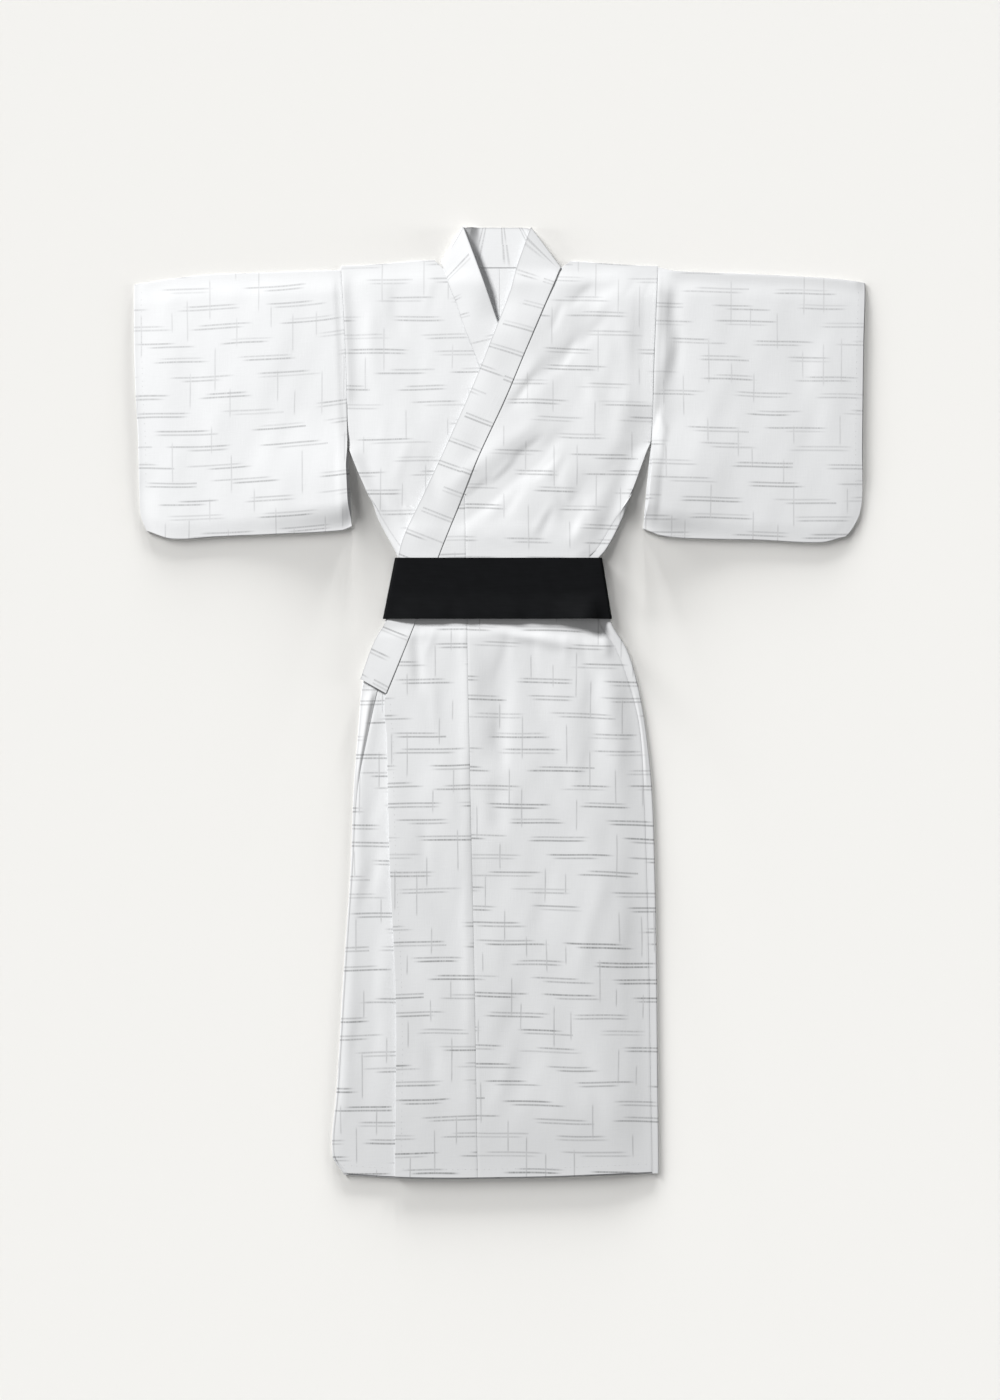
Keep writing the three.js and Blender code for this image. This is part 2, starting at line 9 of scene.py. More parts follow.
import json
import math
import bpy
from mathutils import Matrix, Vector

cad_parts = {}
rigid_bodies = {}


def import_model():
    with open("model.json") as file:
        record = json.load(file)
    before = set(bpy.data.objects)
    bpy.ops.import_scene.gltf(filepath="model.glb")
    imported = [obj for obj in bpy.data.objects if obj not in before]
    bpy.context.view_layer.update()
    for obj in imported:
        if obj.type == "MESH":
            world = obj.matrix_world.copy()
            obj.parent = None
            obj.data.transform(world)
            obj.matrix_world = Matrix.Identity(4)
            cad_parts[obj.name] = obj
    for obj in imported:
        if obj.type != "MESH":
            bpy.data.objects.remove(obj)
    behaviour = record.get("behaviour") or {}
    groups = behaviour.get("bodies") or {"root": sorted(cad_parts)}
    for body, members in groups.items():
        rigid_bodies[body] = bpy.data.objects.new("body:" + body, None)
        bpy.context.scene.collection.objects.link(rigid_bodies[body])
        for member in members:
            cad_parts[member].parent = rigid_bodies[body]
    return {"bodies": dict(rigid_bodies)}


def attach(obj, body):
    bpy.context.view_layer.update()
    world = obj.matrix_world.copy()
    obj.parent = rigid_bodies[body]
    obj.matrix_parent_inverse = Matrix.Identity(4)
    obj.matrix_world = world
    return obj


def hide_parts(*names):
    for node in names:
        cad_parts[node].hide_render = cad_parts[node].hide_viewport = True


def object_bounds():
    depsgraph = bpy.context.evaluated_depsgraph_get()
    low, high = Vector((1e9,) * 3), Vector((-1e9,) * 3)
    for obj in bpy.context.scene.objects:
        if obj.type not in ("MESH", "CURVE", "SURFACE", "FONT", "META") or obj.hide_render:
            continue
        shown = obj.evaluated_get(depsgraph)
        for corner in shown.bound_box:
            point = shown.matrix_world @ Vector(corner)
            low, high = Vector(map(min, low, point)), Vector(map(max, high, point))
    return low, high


bl_info = {
    "name": "Yukata Laid Flat",
    "version": (1, 0, 0),
    "blender": (4, 5, 0),
    "location": "3D View > Sidebar > Yukata",
    "description": "Panels, sleeves, collar, belt and sewing of a yukata that lies flat",
    "category": "Add Mesh",
}

import bpy
import numpy as np
from bpy.props import FloatProperty, FloatVectorProperty, PointerProperty
from mathutils import Vector

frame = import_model()
CAD_BOX = [list(corner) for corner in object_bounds()]
MM = 0.001
HEM_Y = CAD_BOX[0][1]
BODY = frame["bodies"][0] if isinstance(frame["bodies"], list) else next(iter(frame["bodies"]))

# ------------------------------------------------------------------ driving sizes

CLOTH = 1.2
COLLAR_CLOTH = 2.0
BELT_CLOTH = 1.6
SEAM = 0.15
CLEAR = 0.3
BACK_Z = CLOTH / 2
LAYER = 1.8
OVER_COLLAR = COLLAR_CLOTH + CLEAR + 0.1
SHOULDER = 1642.0
ARMHOLE_LOW = 1330.0
COLLAR_END = 874.0
PANEL_TOP = {"left": 1232.0, "right": 1210.0}
BELT_LOW = 1008.0
BELT_HIGH = 1118.0
BELT_LAP = 30.0
BELT_LIFT = 2 * BELT_CLOTH + 2 * CLEAR
NECK_ROW = 1631.0
CUFF_LOW = 1250.0
UNDERARM = (1195.0, 1255.0)
SHOULDER_WIDE = 160.0
BACK_WIDE = 280.0
PANEL_WIDE = 145.0
SLEEVE_WIDE = 375.0
SLEEVE_DEEP = 480.0
BAND_WIDE = 63.0
SEAM_DIP = 0.3
HEM_TUCK = 3.0
TURN_OUT = 2.2

# Heights of the soft forms, and the part of the left front's that its armhole seam holds up.
NECK_MOUND = 2.6
SIDE_ROLL = 3.4
ARMHOLE_RIDGE = 2.8
UNDER_PUFF = 1.8
TOP_PUFF = 2.6
FRONT_HELD = 0.87
SLEEVE_PUFF = 2.6
SLEEVE_GAPE = 8.0
UNDER_STAND = 13.5
TOP_STAND = 4.0
BACK_CLIMB = 15.0
BELT_FLARE = 5.5
HIP_FLARE = 10.0

# How dark the painted shade on a fold or an edge is drawn, against 1 for a seam. It darkens edges that
# the light would show bright.
SHOULDER_SHADE = 2.0
CURL_SHADE = 1.3
RIM_SHADE = 2.5
CUFF_SHADE = 0.8
FREE_EDGE_SHADE = 4.0

# How far the sewing lies from each hem's edge, and the size of a stitch.
HEM_LINE = 15.0
PANEL_LINE = 11.0
CUFF_LINE = 12.0
STITCH_REACH = 1.3
STITCH_GIRTH = 0.26

EDGE_ROWS = [0, 0.5, 1.5, 3.5]
ROW_STEP = 5.0
CURL_STEPS = 8
HALF_TURN = np.arange(1, 8) / 8 * math.pi

# The wearer's right side is -1 and the left side is 1, as the signs of x.
OWN = {-1: "right", 1: "left"}
NECK = {-1: (-116.0, 1651.0), 1: (126.0, 1649.0)}
SLACK = {-1: 0.17, 1: 0.1}
TURNS = {
    -1: {"seam": (-103, 1645), "free": (-64, 1710), "out": (-0.86, 0.52)},
    1: {"seam": (109, 1638), "free": (55, 1710), "out": (0.8, 0.6)},
}

# Where each piece was cut from the patterned cloth: across it, along it, and its rows' lean.
CUTS = {
    "body_right": (510.0, 260.0, 0.012),
    "body_left": (1330.0, 95.0, -0.022),
    "overlap_right": (2200.0, 640.0, 0.02),
    "overlap_left": (2900.0, 377.0, 0.02),
    "sleeve_right": (4100.0, 702.9, 0.03),
    "sleeve_left": (5200.0, 328.68, -0.016),
    "collar": (6300.0, 15.0, 0.0),
}


def columns(names, rows):
    """A short table: one array for each named column."""
    return dict(zip(names, np.array(rows, dtype=float).T))


SIDES = columns(("height", "right_edge", "left_edge", "right_seam", "left_seam"), [
    (0, -278, 286, 3, 11),
    (34, -300, 286, 3, 11),
    (166, -292, 284.5, 3, 12),
    (398, -278, 282, 3, 13),
    (562, -267, 279, 3, 14),
    (698, -262, 274, 6, 14),
    (814, -253, 262, 19, 10),
    (895, -245, 247, 30, 15),
    (955, -224, 228, 30, 19),
    (1003, -205, 200, 28, 21),
    (1120, -182, 179, 16, 17),
    (1132, -188, 191, 14, 16),
    (1186, -217, 220, 8, 12),
    (1215, -228, 231, 4, 6),
    (1260, -249, 247, 3, 3),
    (1312, -270, 266, 3, 3),
    (ARMHOLE_LOW, -273, 273, 3, 3),
    (1472, -276, 278, 3, 3),
    (SHOULDER, -285, 285, 3, 3),
])
HEM = columns(("x", "rise"), [
    (-300, 9), (-190, 2), (-100, 0), (0, 1), (100, 3), (200, 7), (300, 11),
])
OVERLAPS = columns(("height", "left_seam", "left_edge", "right_seam", "right_edge"), [
    (0, -39, -188, 36, 183),
    (322, -44, -186.5, 37, 180),
    (556, -49, -197, 38, 174),
    (682, -52, -200.5, 38, 164),
    (790, -54, -202.5, 39, 152),
    (COLLAR_END, -56, -204, 39, 136),
    (1222, -62, -80, 42, 44),
])
BAND = ("seam_x", "seam_height", "free_x", "free_height")
TOP_COLLAR = columns(BAND, [
    (-204, COLLAR_END, -250, 900),
    (-175.5, 943, -226, 965.5),
    (-151, 1004, -196, 1021),
    (-130.5, 1060, -187, 1082),
    (-109, 1123, -175.5, 1147),
    (-75, 1208, -137, 1231),
    (-39, 1298, -96, 1319),
    (10, 1404, -48, 1427),
    (49.5, 1498, -12, 1517),
    (84, 1579, 19, 1597),
    (100, 1616, 30.5, 1640),
    (107, 1634, 43, 1676),
])
BACK_COLLAR = columns(BAND, [
    (87, 1640, 40, 1712),
    (45, 1640, 22, 1712),
    (0, 1640, 0, 1712),
    (-45, 1640, -28, 1712),
    (-82, 1642, -50, 1712),
])
UNDER_COLLAR = columns(BAND, [
    (136, COLLAR_END, 195, 893),
    (88, 1006, 148, 1021),
    (66, 1123, 127, 1138),
    (42, 1222, 101, 1238),
    (10, 1330, 69, 1348),
    (-33, 1453, 26, 1471),
    (-46, 1489, 12, 1505),
    (-64, 1535, -4.5, 1546),
    (-78, 1577, -24, 1602),
    (-90, 1606, -40.5, 1647),
    (-97, 1631, -54, 1683),
])
COLLARS = {-1: UNDER_COLLAR, 1: TOP_COLLAR}

# Soft folds along lines: a trough has a negative rise.
FOLD = ("x1", "height1", "x2", "height2", "width", "rise")
TOP_FOLDS = columns(FOLD, [
    (96, 1322, -66, 1194, 18, -4.8),
    (130, 1306, -6, 1158, 36, 0.8),
    (202, 1287, 96, 1149, 24, -2.6),
    (250, 1626, 121, 1577, 17, -2.0),
    (142, 1512, 20, 1388, 15, -1.8),
    (174, 1536, 118, 1380, 36, -1.6),
    (84, 1500, 30, 1380, 22, 1.2),
    (58, 1362, -86, 1246, 20, 2.2),
    (-30, 992, 120, 962, 10, 3),
    (60, 998, 172, 980, 12, -3),
    (186, 1003, 192, 948, 9, 3.4),
    (-150, 985, -60, 992, 9, 1.5),
    (-50, 985, -44, 790, 24, 2.8),
    (174, 930, 162, 700, 19, -2.5),
    (210, 920, 216, 700, 26, 1.8),
    (-62, 900, -56, 180, 9, 1.1),
    (-148, 985, -144, 890, 10, -2.4),
    (8, 950, 0, 760, 17, -2.4),
    (-4, 716, 6, 624, 16, -2.0),
    (-152, 292, -118, 190, 18, -1.5),
    (60, 900, 110, 700, 30, -1.4),
    (-100, 760, -70, 560, 26, 1.6),
    (20, 740, -30, 560, 30, 1.4),
    (150, 720, 190, 300, 40, 1.4),
    (60, 420, 20, 120, 36, -1.4),
])
UNDER_FOLDS = columns(FOLD, [
    (-181, 1224, -162, 1172, 9, -1.2),
    (-224, 720, -240, 120, 20, -2.2),
    (-196, 700, -204, 200, 24, 1.0),
])
RIGHT_SLEEVE_FOLDS = columns(FOLD, [
    (-420, 1600, -400, 1220, 40, 1.2),
    (-560, 1580, -540, 1250, 34, -1.2),
])
LEFT_SLEEVE_FOLDS = columns(FOLD, [
    (282, 1640, 282, 1372, 21, 6.2),
    (318, 1600, 316, 1440, 14, -1.6),
    (281, 1384, 297, 1350, 4.5, 1.0),
    (297, 1352, 288, 1296, 4.5, 1.3),
    (380, 1600, 372, 1230, 36, 1.2),
    (540, 1580, 560, 1250, 34, -1.2),
])
# Outlines of the sleeves, how far the lip by the body gapes, how much of the cloth's puff
# the armhole seam holds up, and how high the top fold is rolled.
RIGHT_SLEEVE = {
    "inner": columns(("height", "x"), [(1170, -265.5), (1287, -271), (ARMHOLE_LOW, -273.8)]),
    "outer": columns(("height", "x"), [
        (1165, -634), (1192, -645), (1235, -648), (1340, -651), (1435, -656), (1598, -658),
        (1620, -655),
    ]),
    "top": columns(("part", "height"), [(0, 1636), (0.4, 1631), (0.7, 1626), (1, 1610)]),
    "bottom": columns(("part", "height"), [
        (0, 1174), (0.05, 1167), (0.4, 1160), (0.65, 1156), (0.88, 1152), (1, 1166),
    ]),
    "folds": RIGHT_SLEEVE_FOLDS,
    "lip": 3.0,
    "held": 0.5,
    "roll": 0.5,
}
LEFT_SLEEVE = {
    "inner": columns(("height", "x"), [(1165, 258), (1237, 264), (1308, 271), (ARMHOLE_LOW, 273.8)]),
    "outer": columns(("height", "x"), [
        (1155, 622), (1171, 635), (1197, 648), (1234, 653), (1339, 654), (1498, 656),
        (1606, 658.6), (1620, 656),
    ]),
    "top": columns(("part", "height"), [
        (0, 1641), (0.1, 1634), (0.5, 1628), (0.87, 1620), (1, 1613),
    ]),
    "bottom": columns(("part", "height"), [
        (0, 1170), (0.1, 1157), (0.3, 1152), (0.57, 1150), (0.88, 1145.5), (1, 1156),
    ]),
    "folds": LEFT_SLEEVE_FOLDS,
    "lip": 6.0,
    "held": 0.9,
    "roll": 2.4,
}
SLEEVES = {-1: RIGHT_SLEEVE, 1: LEFT_SLEEVE}

# Creases too fine for the solids.
FINE_TOP = columns(FOLD, [
    (2, 812, 8, 744, 11, -1.4),
    (-16, 702, -2, 632, 13, -1.3),
    (-120, 900, -112, 800, 10, 0.9),
    (-140, 640, -128, 520, 12, -0.9),
    (70, 800, 130, 640, 15, 0.9),
    (96, 560, 60, 440, 14, -0.8),
    (-20, 500, 10, 330, 17, 0.9),
    (180, 560, 150, 380, 16, 0.8),
    (230, 420, 236, 240, 10, -0.8),
    (30, 260, -10, 120, 15, 0.8),
    (-150, 300, -130, 150, 13, 0.8),
    (150, 240, 190, 90, 14, -0.8),
    (200, 1560, 226, 1440, 16, -0.9),
    (150, 1480, 176, 1390, 13, 0.9),
    (232, 1420, 214, 1330, 12, 0.8),
    (100, 1260, 130, 1160, 10, -1.1),
    (150, 1240, 176, 1180, 9, 1.0),
    (-20, 1160, 20, 1140, 8, 0.8),
    (20, 1560, 60, 1490, 12, 0.5),
    (120, 1300, 95, 1250, 8, -0.7),
    (25, 1270, -20, 1190, 9, 0.6),
    (90, 1210, 60, 1160, 7, 0.6),
    (-60, 1100, -50, 1160, 6, 0.5),
    (150, 985, 160, 900, 9, -0.8),
    (120, 985, 118, 930, 7, 0.6),
    (60, 975, 64, 905, 8, -0.6),
    (15, 985, 0, 900, 9, -0.7),
    (-60, 1000, -72, 930, 7, 0.5),
    (-115, 1000, -128, 950, 6, 0.6),
    (30, 640, 60, 420, 22, 0.6),
    (-120, 700, -130, 480, 18, 0.5),
    (210, 700, 222, 420, 14, 0.6),
    (110, 330, 140, 120, 26, -0.6),
    (-90, 420, -80, 200, 20, -0.5),
    (74, 1334, 30, 1296, 7, -1.2),
    (104, 1304, 62, 1262, 6, -0.9),
    (24, 1292, -14, 1256, 6, 0.9),
    (-22, 1256, -54, 1224, 5, -1.0),
    (166, 1606, 132, 1574, 7, -1.0),
    (112, 1570, 94, 1530, 7, -0.9),
    (134, 1504, 108, 1460, 7, -1.0),
    (62, 1444, 28, 1398, 6, -0.9),
    (48, 1424, 66, 1384, 5, 0.7),
    (196, 1560, 150, 1500, 11, -0.8),
    (40, 1246, 4, 1196, 9, -0.9),
    (96, 1206, 76, 1152, 8, -0.9),
    (150, 1196, 132, 1146, 9, 0.8),
    (168, 1250, 124, 1206, 8, -0.8),
    (214, 1500, 196, 1410, 12, -0.7),
])
FINE_UNDER = columns(FOLD, [
    (-236, 1560, -226, 1450, 12, 0.9),
    (-190, 1600, -176, 1520, 13, -0.8),
    (-160, 1330, -190, 1250, 12, 0.9),
    (-244, 1300, -226, 1240, 9, -0.9),
    (-130, 1300, -112, 1220, 11, -0.8),
    (-216, 560, -232, 420, 11, 0.9),
    (-250, 330, -262, 180, 10, -0.9),
    (-181, 1219, -164, 1176, 3.5, -0.9),
    (-170, 1236, -157, 1204, 3, -0.8),
    (-205, 1240, -196, 1200, 5, 0.5),
    (-120, 1620, -135, 1560, 9, 0.5),
    (-140, 1500, -150, 1380, 14, -0.5),
    (-205, 1380, -215, 1300, 12, 0.6),
    (-222, 880, -236, 760, 8, 0.6),
    (-230, 640, -245, 420, 14, -0.5),
])

# ------------------------------------------------------------------ numbers


def mix(a, b, t):
    """Straight-line blend from a to b."""
    return a + (b - a) * t


def ease(start, end, value):
    """Goes smoothly from 0 at start to 1 at end: 3t² - 2t³. start may be the larger."""
    t = np.clip((value - start) / (end - start), 0.0, 1.0)
    return t * t * (3.0 - 2.0 * t)


def along(table, key, column, at):
    """A cubic through one column, with each row's slope taken from its two neighbours."""
    x, y = table[key], table[column]
    at = np.clip(np.asarray(at, dtype=float), x[0], x[-1])
    slope = np.empty_like(y)
    slope[1:-1] = (y[2:] - y[:-2]) / (x[2:] - x[:-2])
    slope[0] = (y[1] - y[0]) / (x[1] - x[0])
    slope[-1] = (y[-1] - y[-2]) / (x[-1] - x[-2])
    i = np.clip(np.searchsorted(x, at, side="right") - 1, 0, len(x) - 2)
    span = x[i + 1] - x[i]
    t = (at - x[i]) / span
    t2, t3 = t * t, t * t * t
    return (
        y[i] * (2 * t3 - 3 * t2 + 1) + y[i + 1] * (3 * t2 - 2 * t3)
        + span * (slope[i] * (t3 - 2 * t2 + t) + slope[i + 1] * (t3 - t2))
    )


def fold_rise(folds, x, height):
    """Sum of soft ridges: each is a bell across its uneven line that fades out at both ends."""
    total = np.zeros(np.broadcast(x, height).shape)
    uneven = ripple(x, height, 13)
    for x1, h1, x2, h2, width, rise in zip(*(folds[name] for name in FOLD)):
        dx, dy = x2 - x1, h2 - h1
        length = math.hypot(dx, dy)
        run = ((x - x1) * dx + (height - h1) * dy) / length
        off = ((height - h1) * dx - (x - x1) * dy) / length
        off = off + 0.3 * width * uneven
        fade = 0.3 * length
        ends = ease(-fade, fade, run) * ease(-fade, fade, length - run)
        total = total + rise * ends * np.exp(-((off / width) ** 2))
    return total


def lifted(puff):
    """The puff where it is up, and nearly 0 where it is down: (p + root of p² + 0.36) / 2."""
    return (puff + np.sqrt(puff * puff + 0.36)) / 2


def ripple(x, height, scale):
    """Slow uneven waves: a sum of sines that run in different directions."""
    a = np.sin((0.81 * x + 0.31 * height) / scale + 0.4)
    b = np.sin((-0.42 * x + 0.77 * height) / scale * 0.83 + 1.9)
    c = np.sin((0.93 * x - 0.55 * height) / scale * 1.37 + 4.1)
    return (a + b + 0.7 * c) / 2.7


def puckers(x, height):
    """Slow and quick unevenness of loose cloth, as low rises and dips."""
    return 0.9 * ripple(x, height, 36) + 0.42 * ripple(1.3 * x + 57, 0.8 * height, 14.5)


def edged(count, width):
    """Steps from 0 to 1 with three close ones at both ends, for cloth of a width."""
    close = np.array([0.5, 1.4, 3.0]) / width
    inner = np.linspace(0, 1, count - 6)
    return np.sort(np.concatenate([inner, close, 1 - close]))


# ------------------------------------------------------------------ how the layers lie


def belt_lift(height):
    """How far the lapped belt under the back raises the garment near the waist."""
    return BELT_LIFT * ease(BELT_LOW - 28, BELT_LOW - 2, height) * (
        1 - ease(BELT_HIGH + 8, BELT_HIGH + 70, height))


def back_z(height):
    """Middle of the back's cloth."""
    return BACK_Z + belt_lift(height)


def looseness(height):
    """1 where cloth lies loose, falling to 0 at the belt, the hem and the shoulder."""
    belt = ease(BELT_LOW - 5, BELT_LOW - 34, height) + ease(BELT_HIGH + 6, BELT_HIGH + 60, height)
    return belt * ease(0, 150, height) * (1 - ease(SHOULDER - 34, SHOULDER, height))


def neck_rise(x, height):
    """A low mound round the neck, where the collar stands up a little."""
    return NECK_MOUND * (1 - ease(110, 190, np.hypot(x, height - SHOULDER)))


def side_roll(from_edge, height):
    """The body's side edge is rolled up a little below the armhole."""
    return SIDE_ROLL * np.exp(-((from_edge / 17) ** 2)) * ease(1150, 1200, height) * ease(
        ARMHOLE_LOW, ARMHOLE_LOW - 30, height)


def armhole_ridge(from_edge, height):
    """Beside its armhole seam the wearer's right front is drawn up into a low ridge."""
    return ARMHOLE_RIDGE * np.exp(-((from_edge / 12) ** 2)) * ease(1385, 1425, height) * ease(
        SHOULDER, SHOULDER - 50, height)


def under_z(x, height):
    """Middle of the wearer's right front: the back, one layer up, with its puff and folds."""
    edge = along(SIDES, "height", "right_edge", height)
    spread = mix(1.0, 0.25, ease(900, 780, height))
    puff = UNDER_PUFF * ease(8 * spread, 60 * spread, x - edge)
    puff = puff + fold_rise(UNDER_FOLDS, x, height)
    puff = puff + fold_rise(FINE_UNDER, x, height) + puckers(x, height)
    loose = lifted(puff) * looseness(height) + side_roll(x - edge, height)
    loose = loose + armhole_ridge(x - edge, height)
    return back_z(height) + LAYER + neck_rise(x, height) + loose


def top_z(x, height):
    """Middle of the wearer's left front: over the right one, and down to the back's edge."""
    from_edge = along(SIDES, "height", "left_edge", height) - x
    # The armhole seam holds the edge up, and on the skirt the fall to the edge is long.
    held = FRONT_HELD * ease(1345, 1400, height) * ease(SHOULDER, SHOULDER - 60, height)
    spread = mix(1.0, 2.0, ease(900, 780, height))
    step = OVER_COLLAR * np.maximum(ease(6, 46 * spread, from_edge), held)
    step = step * ease(SHOULDER, SHOULDER - 90, height)
    puff = TOP_PUFF * np.maximum(ease(20 / spread, 70 * spread, from_edge), held)
    puff = puff + fold_rise(TOP_FOLDS, x, height)
    puff = puff + fold_rise(FINE_TOP, x, height) + puckers(x + 90, height)
    low = back_z(height) + LAYER + neck_rise(x, height)
    under = mix(low, under_z(x, height), ease(20, 60, from_edge))
    loose = lifted(puff) * looseness(height) * np.maximum(ease(0, 30, from_edge), held)
    return under + step + loose + side_roll(from_edge, height)


FRONT_Z = {-1: under_z, 1: top_z}


def hemmed(x, height, tuck=0.0):
    """The hem's rise towards the sides, which fades out up the skirt."""
    return height + (along(HEM, "x", "rise", x) + tuck) * (1 - ease(0, 160, height))


def collar_at(side, height):
    """Ends of the section across the collar on one front, by the height of its seam."""
    seam_x, free_x, free_height = (
        along(COLLARS[side], "seam_height", name, height) for name in ("seam_x", *BAND[2:]))
    return np.stack([seam_x, height], axis=-1), np.stack([free_x, free_height], axis=-1)


# ------------------------------------------------------------------ meshes


def grid_faces(index):
    """Four corners of every cell of a grid of vertex numbers."""
    return np.stack([index[:-1, :-1], index[:-1, 1:], index[1:, 1:], index[1:, :-1]], axis=-1)


def place_mesh(name, points, faces, material):
    """A smooth mesh from points in millimetres, placed in the frame and riding with the garment."""
    placed = points * MM
    placed[:, 1] += HEM_Y
    mesh = bpy.data.meshes.new(name)
    mesh.from_pydata(placed.tolist(), [], faces)
    mesh.shade_smooth()
    mesh.materials.append(material)
    mesh.validate()
    piece = bpy.data.objects.new(name, mesh)
    bpy.context.scene.collection.objects.link(piece)
    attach(piece, BODY)
    return piece


def cloth_wall(name, middle, thickness, uv, shade, material, ring=False):
    """A closed wall: the middle surface moved half a thickness each way along its normals.

    The normal is the cross product of the two grid directions. A ring closes on itself
    across its rows. shade is stored with the points as painted shade, 1 in a seam and 0 on
    open cloth.
    """
    rows, across = middle.shape[:2]
    if ring:
        width = np.roll(middle, -1, axis=1) - np.roll(middle, 1, axis=1)
    else:
        width = np.gradient(middle, axis=1)
    normal = np.cross(width, np.gradient(middle, axis=0))
    normal /= np.maximum(np.linalg.norm(normal, axis=-1, keepdims=True), 1e-9)
    points = np.concatenate([
        (middle + normal * thickness / 2).reshape(-1, 3),
        (middle - normal * thickness / 2).reshape(-1, 3),
    ])
    index = np.arange(rows * across).reshape(rows, across)
    flat = index
    if ring:
        index = np.hstack([index, index[:, :1]])
        flat = np.arange(rows * (across + 1)).reshape(rows, across + 1)
    # Faces number the points, and the texture's corners number the grid once for both walls.
    faces, corners = [], []
    for pick, shift, found in ((index, rows * across, faces), (flat, 0, corners)):
        outer = grid_faces(pick).reshape(-1, 4)
        found += [outer, outer[:, ::-1] + shift]
        rims = [pick[0, ::-1], pick[-1]]
        if not ring:
            rims += [pick[:, 0], pick[::-1, -1]]
        for rim in rims:
            found.append(np.stack([rim[:-1], rim[1:], rim[1:] + shift, rim[:-1] + shift], axis=-1))
    corners = np.concatenate(corners).reshape(-1)
    piece = place_mesh(name, points, np.concatenate(faces).tolist(), material)
    mesh = piece.data
    layer = mesh.uv_layers.new(name="cloth")
    layer.data.foreach_set("uv", (uv.reshape(-1, 2)[corners] * MM).astype(np.float32).reshape(-1))
    # The seam attribute carries the painted shade to the cloth's material.
    seam = mesh.attributes.new("seam", "FLOAT", "POINT")
    seam.data.foreach_set("value", np.tile(shade.reshape(-1), 2).astype(np.float32))
    return piece


def seam_shade(distance, width=1.6):
    """1 on a seam, falling to 0 over a width on each side of it."""
    return np.exp(-((distance / width) ** 2))


def cut_from(name, x, height):
    """Place of each point on the patterned cloth, where a piece's rows lean by a slope."""
    across, length, lean = CUTS[name]
    return np.stack(np.broadcast_arrays(x + across, height + length - lean * x), axis=-1)


# ------------------------------------------------------------------ materials

CLOTH_WHITE = "#f3f4f5"
PAINTED_SHADE_GREY = "#6f7072"
THREAD_WHITE = "#dcdddd"
COTTON = "Plain-woven white cotton with kasuri marks"
COLLAR_COTTON = "Plain-woven white cotton with kasuri marks across the collar"
BELT_STUFF = "Ribbed black cotton belt cloth"
THREAD = "White cotton sewing thread"

MATH = "ShaderNodeMath"
VECTOR_MATH = "ShaderNodeVectorMath"
MAP_RANGE = "ShaderNodeMapRange"
NOISE = "ShaderNodeTexNoise"

# Woven marks: half widths where a line is full and where it is gone, the same past its tips,
# and its least half length with how much longer it can be.
WEFT_EDGE, WEFT_TIP, WEFT_REACH = (0.6, 2.5), (-14.0, 8.0), (33.0, 24.0)
WARP_EDGE, WARP_TIP, WARP_REACH = (0.4, 1.9), (-7.0, 3.0), (16.0, 26.0)
PAIR_APART = 6.4
ROW_DRIFT = 6.0
PAIR_DRIFT = 30.0
LINE_DRIFT = 34.0
COLLAR_PITCH = 72.0
LEAST_FORCE = 0.35
PAIRS_LEFT_OUT = 0.06
WARP_LEFT_OUT = 0.3
WARP_FORCE = 0.5
# Keys keep the random values of the pairs, the single lines and the warp marks apart.
PAIR_KEY, LINE_KEY, WARP_KEY = 9.0, 3.0, 17.0
# Slubs in each millimetre, across the yarn and along it.
SLUB_FINE, SLUB_LONG = 0.62, 0.034


def linear(code):
    """Turns an sRGB hex value to linear colour: ((c + 0.055) / 1.055) to the power 2.4."""
    parts = np.array([int(code[i:i + 2], 16) / 255 for i in (1, 3, 5)])
    value = np.where(parts <= 0.04045, parts / 12.92, ((parts + 0.055) / 1.055) ** 2.4)
    return (*[float(v) for v in value], 1.0)


def add(tree, kind, inputs=(), output=0, **settings):
    """Adds a node, sets it up, and returns one of its outputs, or all when output is None.

    inputs holds sockets or values: a list by place, or a dictionary by name or place.
    """
    made = tree.nodes.new(kind)
    for key, value in settings.items():
        setattr(made, key, value)
    named = inputs if isinstance(inputs, dict) else dict(enumerate(inputs))
    for key, value in named.items():
        if isinstance(value, bpy.types.NodeSocket):
            tree.links.new(value, made.inputs[key])
        else:
            made.inputs[key].default_value = value
    return made.outputs if output is None else made.outputs[output]


def new_material(name, finish):
    """A node material with a Principled shader, whose named inputs take the values of finish."""
    material = bpy.data.materials.new(name)
    material.use_nodes = True
    tree = material.node_tree
    tree.nodes.clear()
    shader = tree.nodes.new("ShaderNodeBsdfPrincipled")
    for key, value in finish.items():
        shader.inputs[key].default_value = value
    add(tree, "ShaderNodeOutputMaterial", [shader.outputs[0]], output=None)
    return material, tree, shader


def repeat(tree, place, size):
    """Number of the repeat that a place is in, and the way into it: n = floor(p / s), p - n s."""
    number = add(tree, MATH, [place, size], operation="DIVIDE")
    number = add(tree, MATH, [number], operation="FLOOR")
    return number, add(tree, MATH, [number, -size, place], operation="MULTIPLY_ADD")


def chances(tree, *key):
    """Three random values from 0 to 1 that belong to three numbers."""
    vector = add(tree, "ShaderNodeCombineXYZ", key)
    colour = add(tree, "ShaderNodeTexWhiteNoise", {"Vector": vector}, output="Color",
                 noise_dimensions="3D")
    return add(tree, "ShaderNodeSeparateColor", [colour], output=None)


def woven_line(tree, places, middles, reach, blurs):
    """Strength of one line: 1 on it, falling smoothly to 0 past its edges and past its tips.

    places, middles and blurs are given across the line and along it.
    """
    strength = []
    for place, middle, half, (full, gone) in zip(places, middles, (0.0, reach), blurs):
        off = add(tree, MATH, [place, middle], operation="SUBTRACT")
        off = add(tree, MATH, [off], operation="ABSOLUTE")
        past = add(tree, MATH, [off, half], operation="SUBTRACT")
        strength.append(add(tree, MAP_RANGE, [past, full, gone, 1.0, 0.0],
                            interpolation_type="SMOOTHSTEP"))
    return add(tree, MATH, strength, operation="MULTIPLY")


